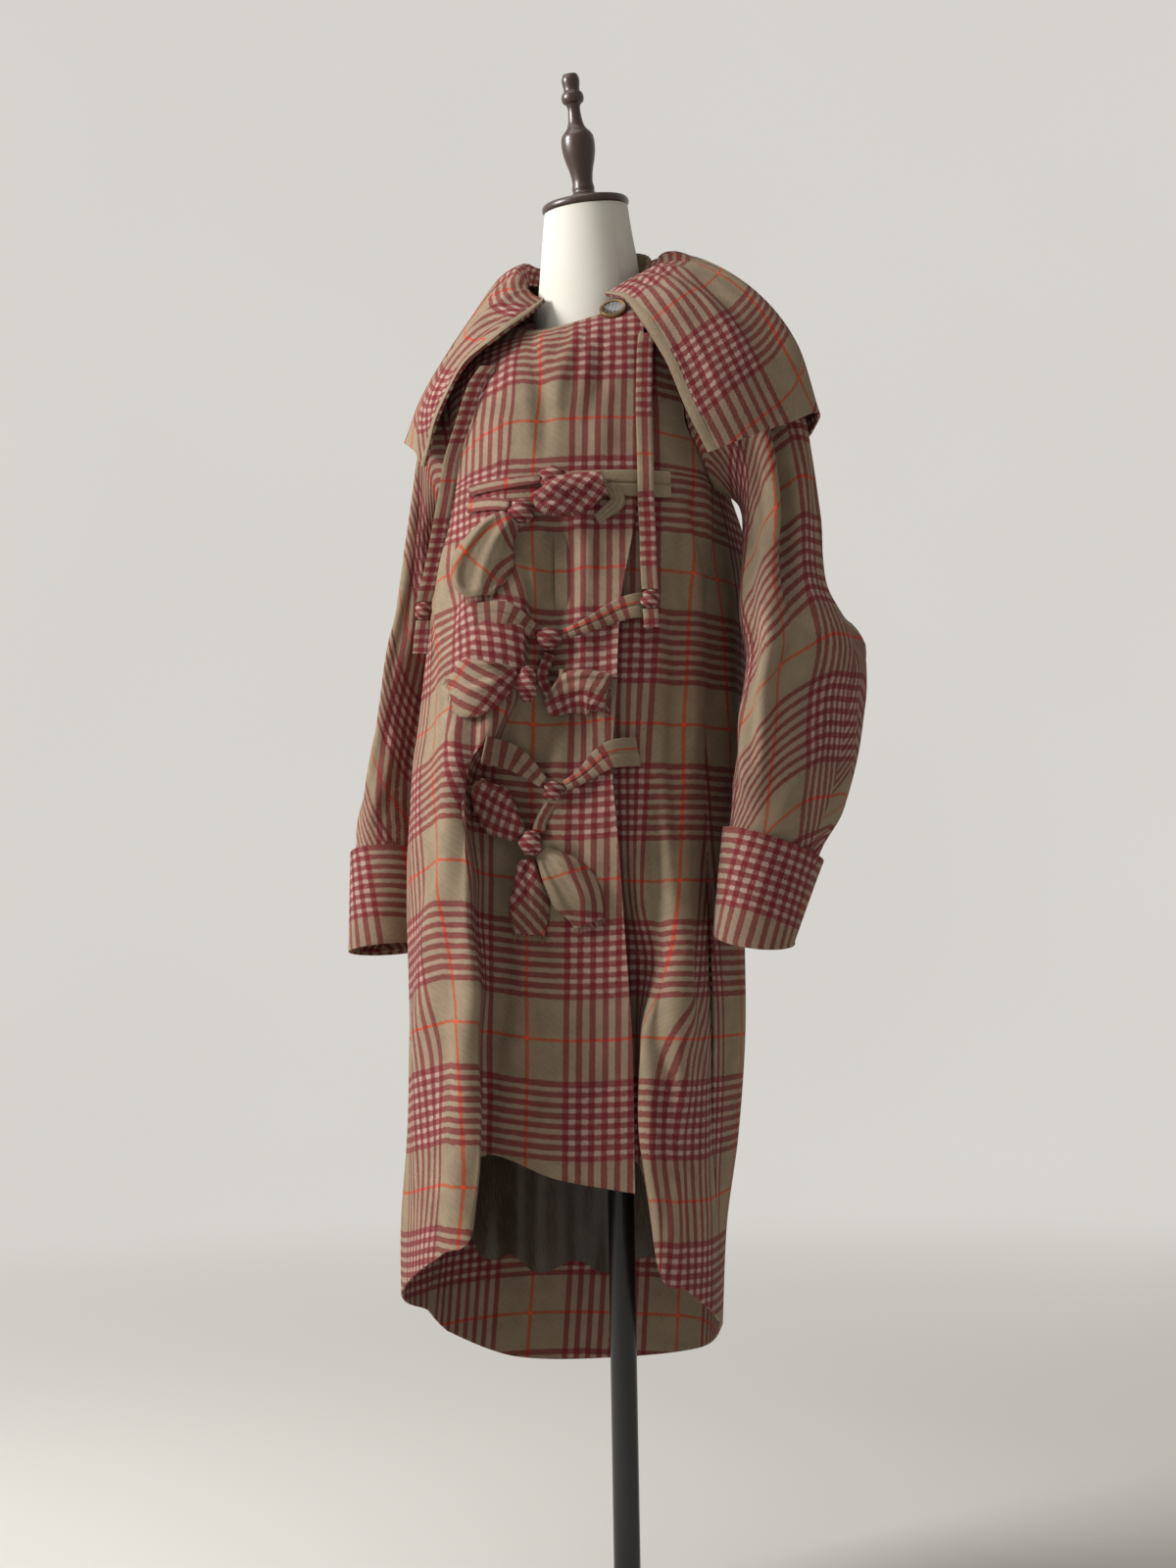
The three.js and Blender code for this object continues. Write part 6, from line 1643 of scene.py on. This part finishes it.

# %% [markdown]
# Every loose sheet is listed with its flat size in metres: how wide and how long it is along its own
# surface, where it is widest and longest, and its area, because it narrows elsewhere. There was no
# pattern to read them from.

# %% The cut of each sheet
SHEETS = table("name width length area held rests", [
    ("coat_front_right_cloth", 0.600, 1.240, 0.452, "hung", ("form_torso", "neckband")),
    ("coat_front_left_cloth", 0.325, 1.205, 0.200, "hung", ("form_torso", "neckband")),
    ("coat_back_cloth", 0.590, 1.250, 0.615, "hung", ("form_torso", "neckband")),
    ("sleeve_left_cloth", 0.560, 0.760, 0.256, "hung", ("coat_front_left", "coat_back")),
    ("sleeve_right_cloth", 0.460, 0.725, 0.207, "hung", ("coat_front_right", "coat_back")),
    ("cuff_left_cloth", 0.310, 0.115, 0.0335, "folded", ("sleeve_left",)),
    ("cuff_right_cloth", 0.320, 0.115, 0.035, "folded", ("sleeve_right",)),
    ("neckband_cloth", 0.417, 0.021, None, "hung", ("coat_back",)),
    ("hood_casing_cloth", 0.440, 0.044, 0.0125, "gathered", ("neckband",)),
    ("hood_flap_left_cloth", 0.185, 0.310, 0.045, "draped", ("coat_front_left", "sleeve_left")),
    ("hood_back_cloth", 0.660, 0.365, 0.168, "draped", ("coat_back", "sleeve_left", "sleeve_right")),
    ("hood_flap_right_cloth", 0.205, 0.292, 0.045, "draped", ("coat_front_right", "sleeve_right")),
    ("lining_back_satin", 0.570, 0.270, 0.117, "hung", ("coat_back",)),
    ("tie1_tab_right_upper_cloth", 0.018, 0.086, 0.0015, "folded", ("coat_front_right",)),
    ("tie1_tab_right_lower_cloth", 0.020, 0.057, 0.0011, "folded", ("coat_front_right",)),
    ("tie1_tab_left_cloth", 0.037, 0.113, 0.0037, "folded", ("coat_front_right",)),
    ("tie1_leaf_lower_cloth", 0.094, 0.127, 0.0072, "folded", ("tie1_knot_lower",)),
    ("tie1_leaf_upper_cloth", 0.073, 0.083, 0.0046, "folded", ("tie1_knot",)),
    ("tie1_curl_cloth", 0.031, 0.062, 0.0014, "folded", ("tie1_tab_left",)),
    ("tie2_tab_right_cloth", 0.032, 0.078, 0.0021, "folded", ("coat_front_right",)),
    ("tie2_tab_left_cloth", 0.034, 0.104, 0.0029, "folded", ("coat_front_right",)),
    ("tie2_loop_cloth", 0.022, 0.099, 0.0015, "folded", ("tie2_knot",)),
    ("tie2_leaf_left_cloth", 0.088, 0.097, 0.0060, "folded", ("tie2_knot_lower",)),
    ("tie2_leaf_right_cloth", 0.075, 0.089, 0.0041, "folded", ("tie2_knot_lower",)),
    ("tie3_tab_right_cloth", 0.036, 0.092, 0.0027, "folded", ("coat_front_right",)),
    ("tie3_tab_left_cloth", 0.038, 0.096, 0.0028, "folded", ("coat_front_right",)),
    ("tie3_loop_cloth", 0.025, 0.035, 0.0007, "folded", ("tie3_knot",)),
    ("tie3_leaf_upper_cloth", 0.077, 0.089, 0.0044, "folded", ("tie3_knot_lower",)),
    ("tie3_leaf_lower_cloth", 0.071, 0.082, 0.0046, "folded", ("tie3_knot_lower",)),
    ("tie3_leaf_right_cloth", 0.081, 0.102, 0.0058, "folded", ("tie3_knot_lower",)),
])
for row in SHEETS:
    list(row["rests"])
print("declared", len(SHEETS), "sheets")

# %% Floor, backdrop and light
def studio_bowl():
    """A floor that sweeps up into a round wall, so no horizon shows from any side."""
    profile = [(0, -2), (2600, -2), (3600, 60), (4300, 420), (4700, 1100), (4800, 2400), (4800, 6500)]
    stops = np.array([(r, h, 0) for r, h in profile], float)
    line = curve_places(stops, np.linspace(0, 1, 40))
    bowl = spun("studio_sweep", [(max(p[0], 0), p[1]) for p in line], 96)
    bowl.data.flip_normals()
    return smooth(bowl, 60)


def pale_studio():
    """A matte floor that turns into a wall with its own soft light, brighter on the window's side."""
    material, net, shader = new_material("pale studio")
    where = net.put("ShaderNodeTexCoord").outputs["Object"]
    tone = net.mix(net.noise(where, 0.6, 2.0), lit(232, 229, 223), lit(226, 223, 217))
    axes = net.put("ShaderNodeSeparateXYZ", {0: where})
    x, y = axes.outputs[0], axes.outputs[1]
    radius = net.sum("SQRT", net.sum("ADD", net.sum("MULTIPLY", x, x), net.sum("MULTIPLY", y, y)))
    toward = net.sum("ADD", net.sum("MULTIPLY", x, -0.9), net.sum("MULTIPLY", y, 0.43))
    bright = net.between(net.sum("DIVIDE", toward, radius), 0.6, 1.0, -0.5, 0.5)
    glow = net.between(radius, 0.0, 1.0, 1.2, 3.4)
    net.feed(shader, {
        "Base Color": net.mix(glow, lit(208, 205, 200), NO_LIGHT),
        "Emission Color": net.mix(glow, NO_LIGHT, net.mix(bright, NO_LIGHT, tone)),
        "Emission Strength": 0.86, "Roughness": 1.0, "Specular IOR Level": 0.0,
    })
    return material


NO_LIGHT = (0, 0, 0, 1)
bowl, pale = studio_bowl(), pale_studio()
bowl.data.materials.append(pale)


def area_light(name, at, target, size, power):
    data = bpy.data.lights.new(name, "AREA")
    data.size, data.energy = size, power
    light = bpy.data.objects.new(name, data)
    light.location = at
    light.rotation_euler = (Vector(target) - Vector(at)).to_track_quat("-Z", "Y").to_euler()
    scene.collection.objects.link(light)


area_light("window", (-1.9, -2.1, 2.3), (0, 0, 1.05), 1.1, 125)
area_light("overhead", (-0.3, -0.9, 3.4), (0, 0, 1.0), 1.8, 20)
scene.view_settings.view_transform = "Standard"
world = bpy.data.worlds.new("room")
world.use_nodes = True
world.node_tree.nodes["Background"].inputs[0].default_value = lit(228, 226, 222)
world.node_tree.nodes["Background"].inputs[1].default_value = 0.35
scene.world = world
print("stage and light done")
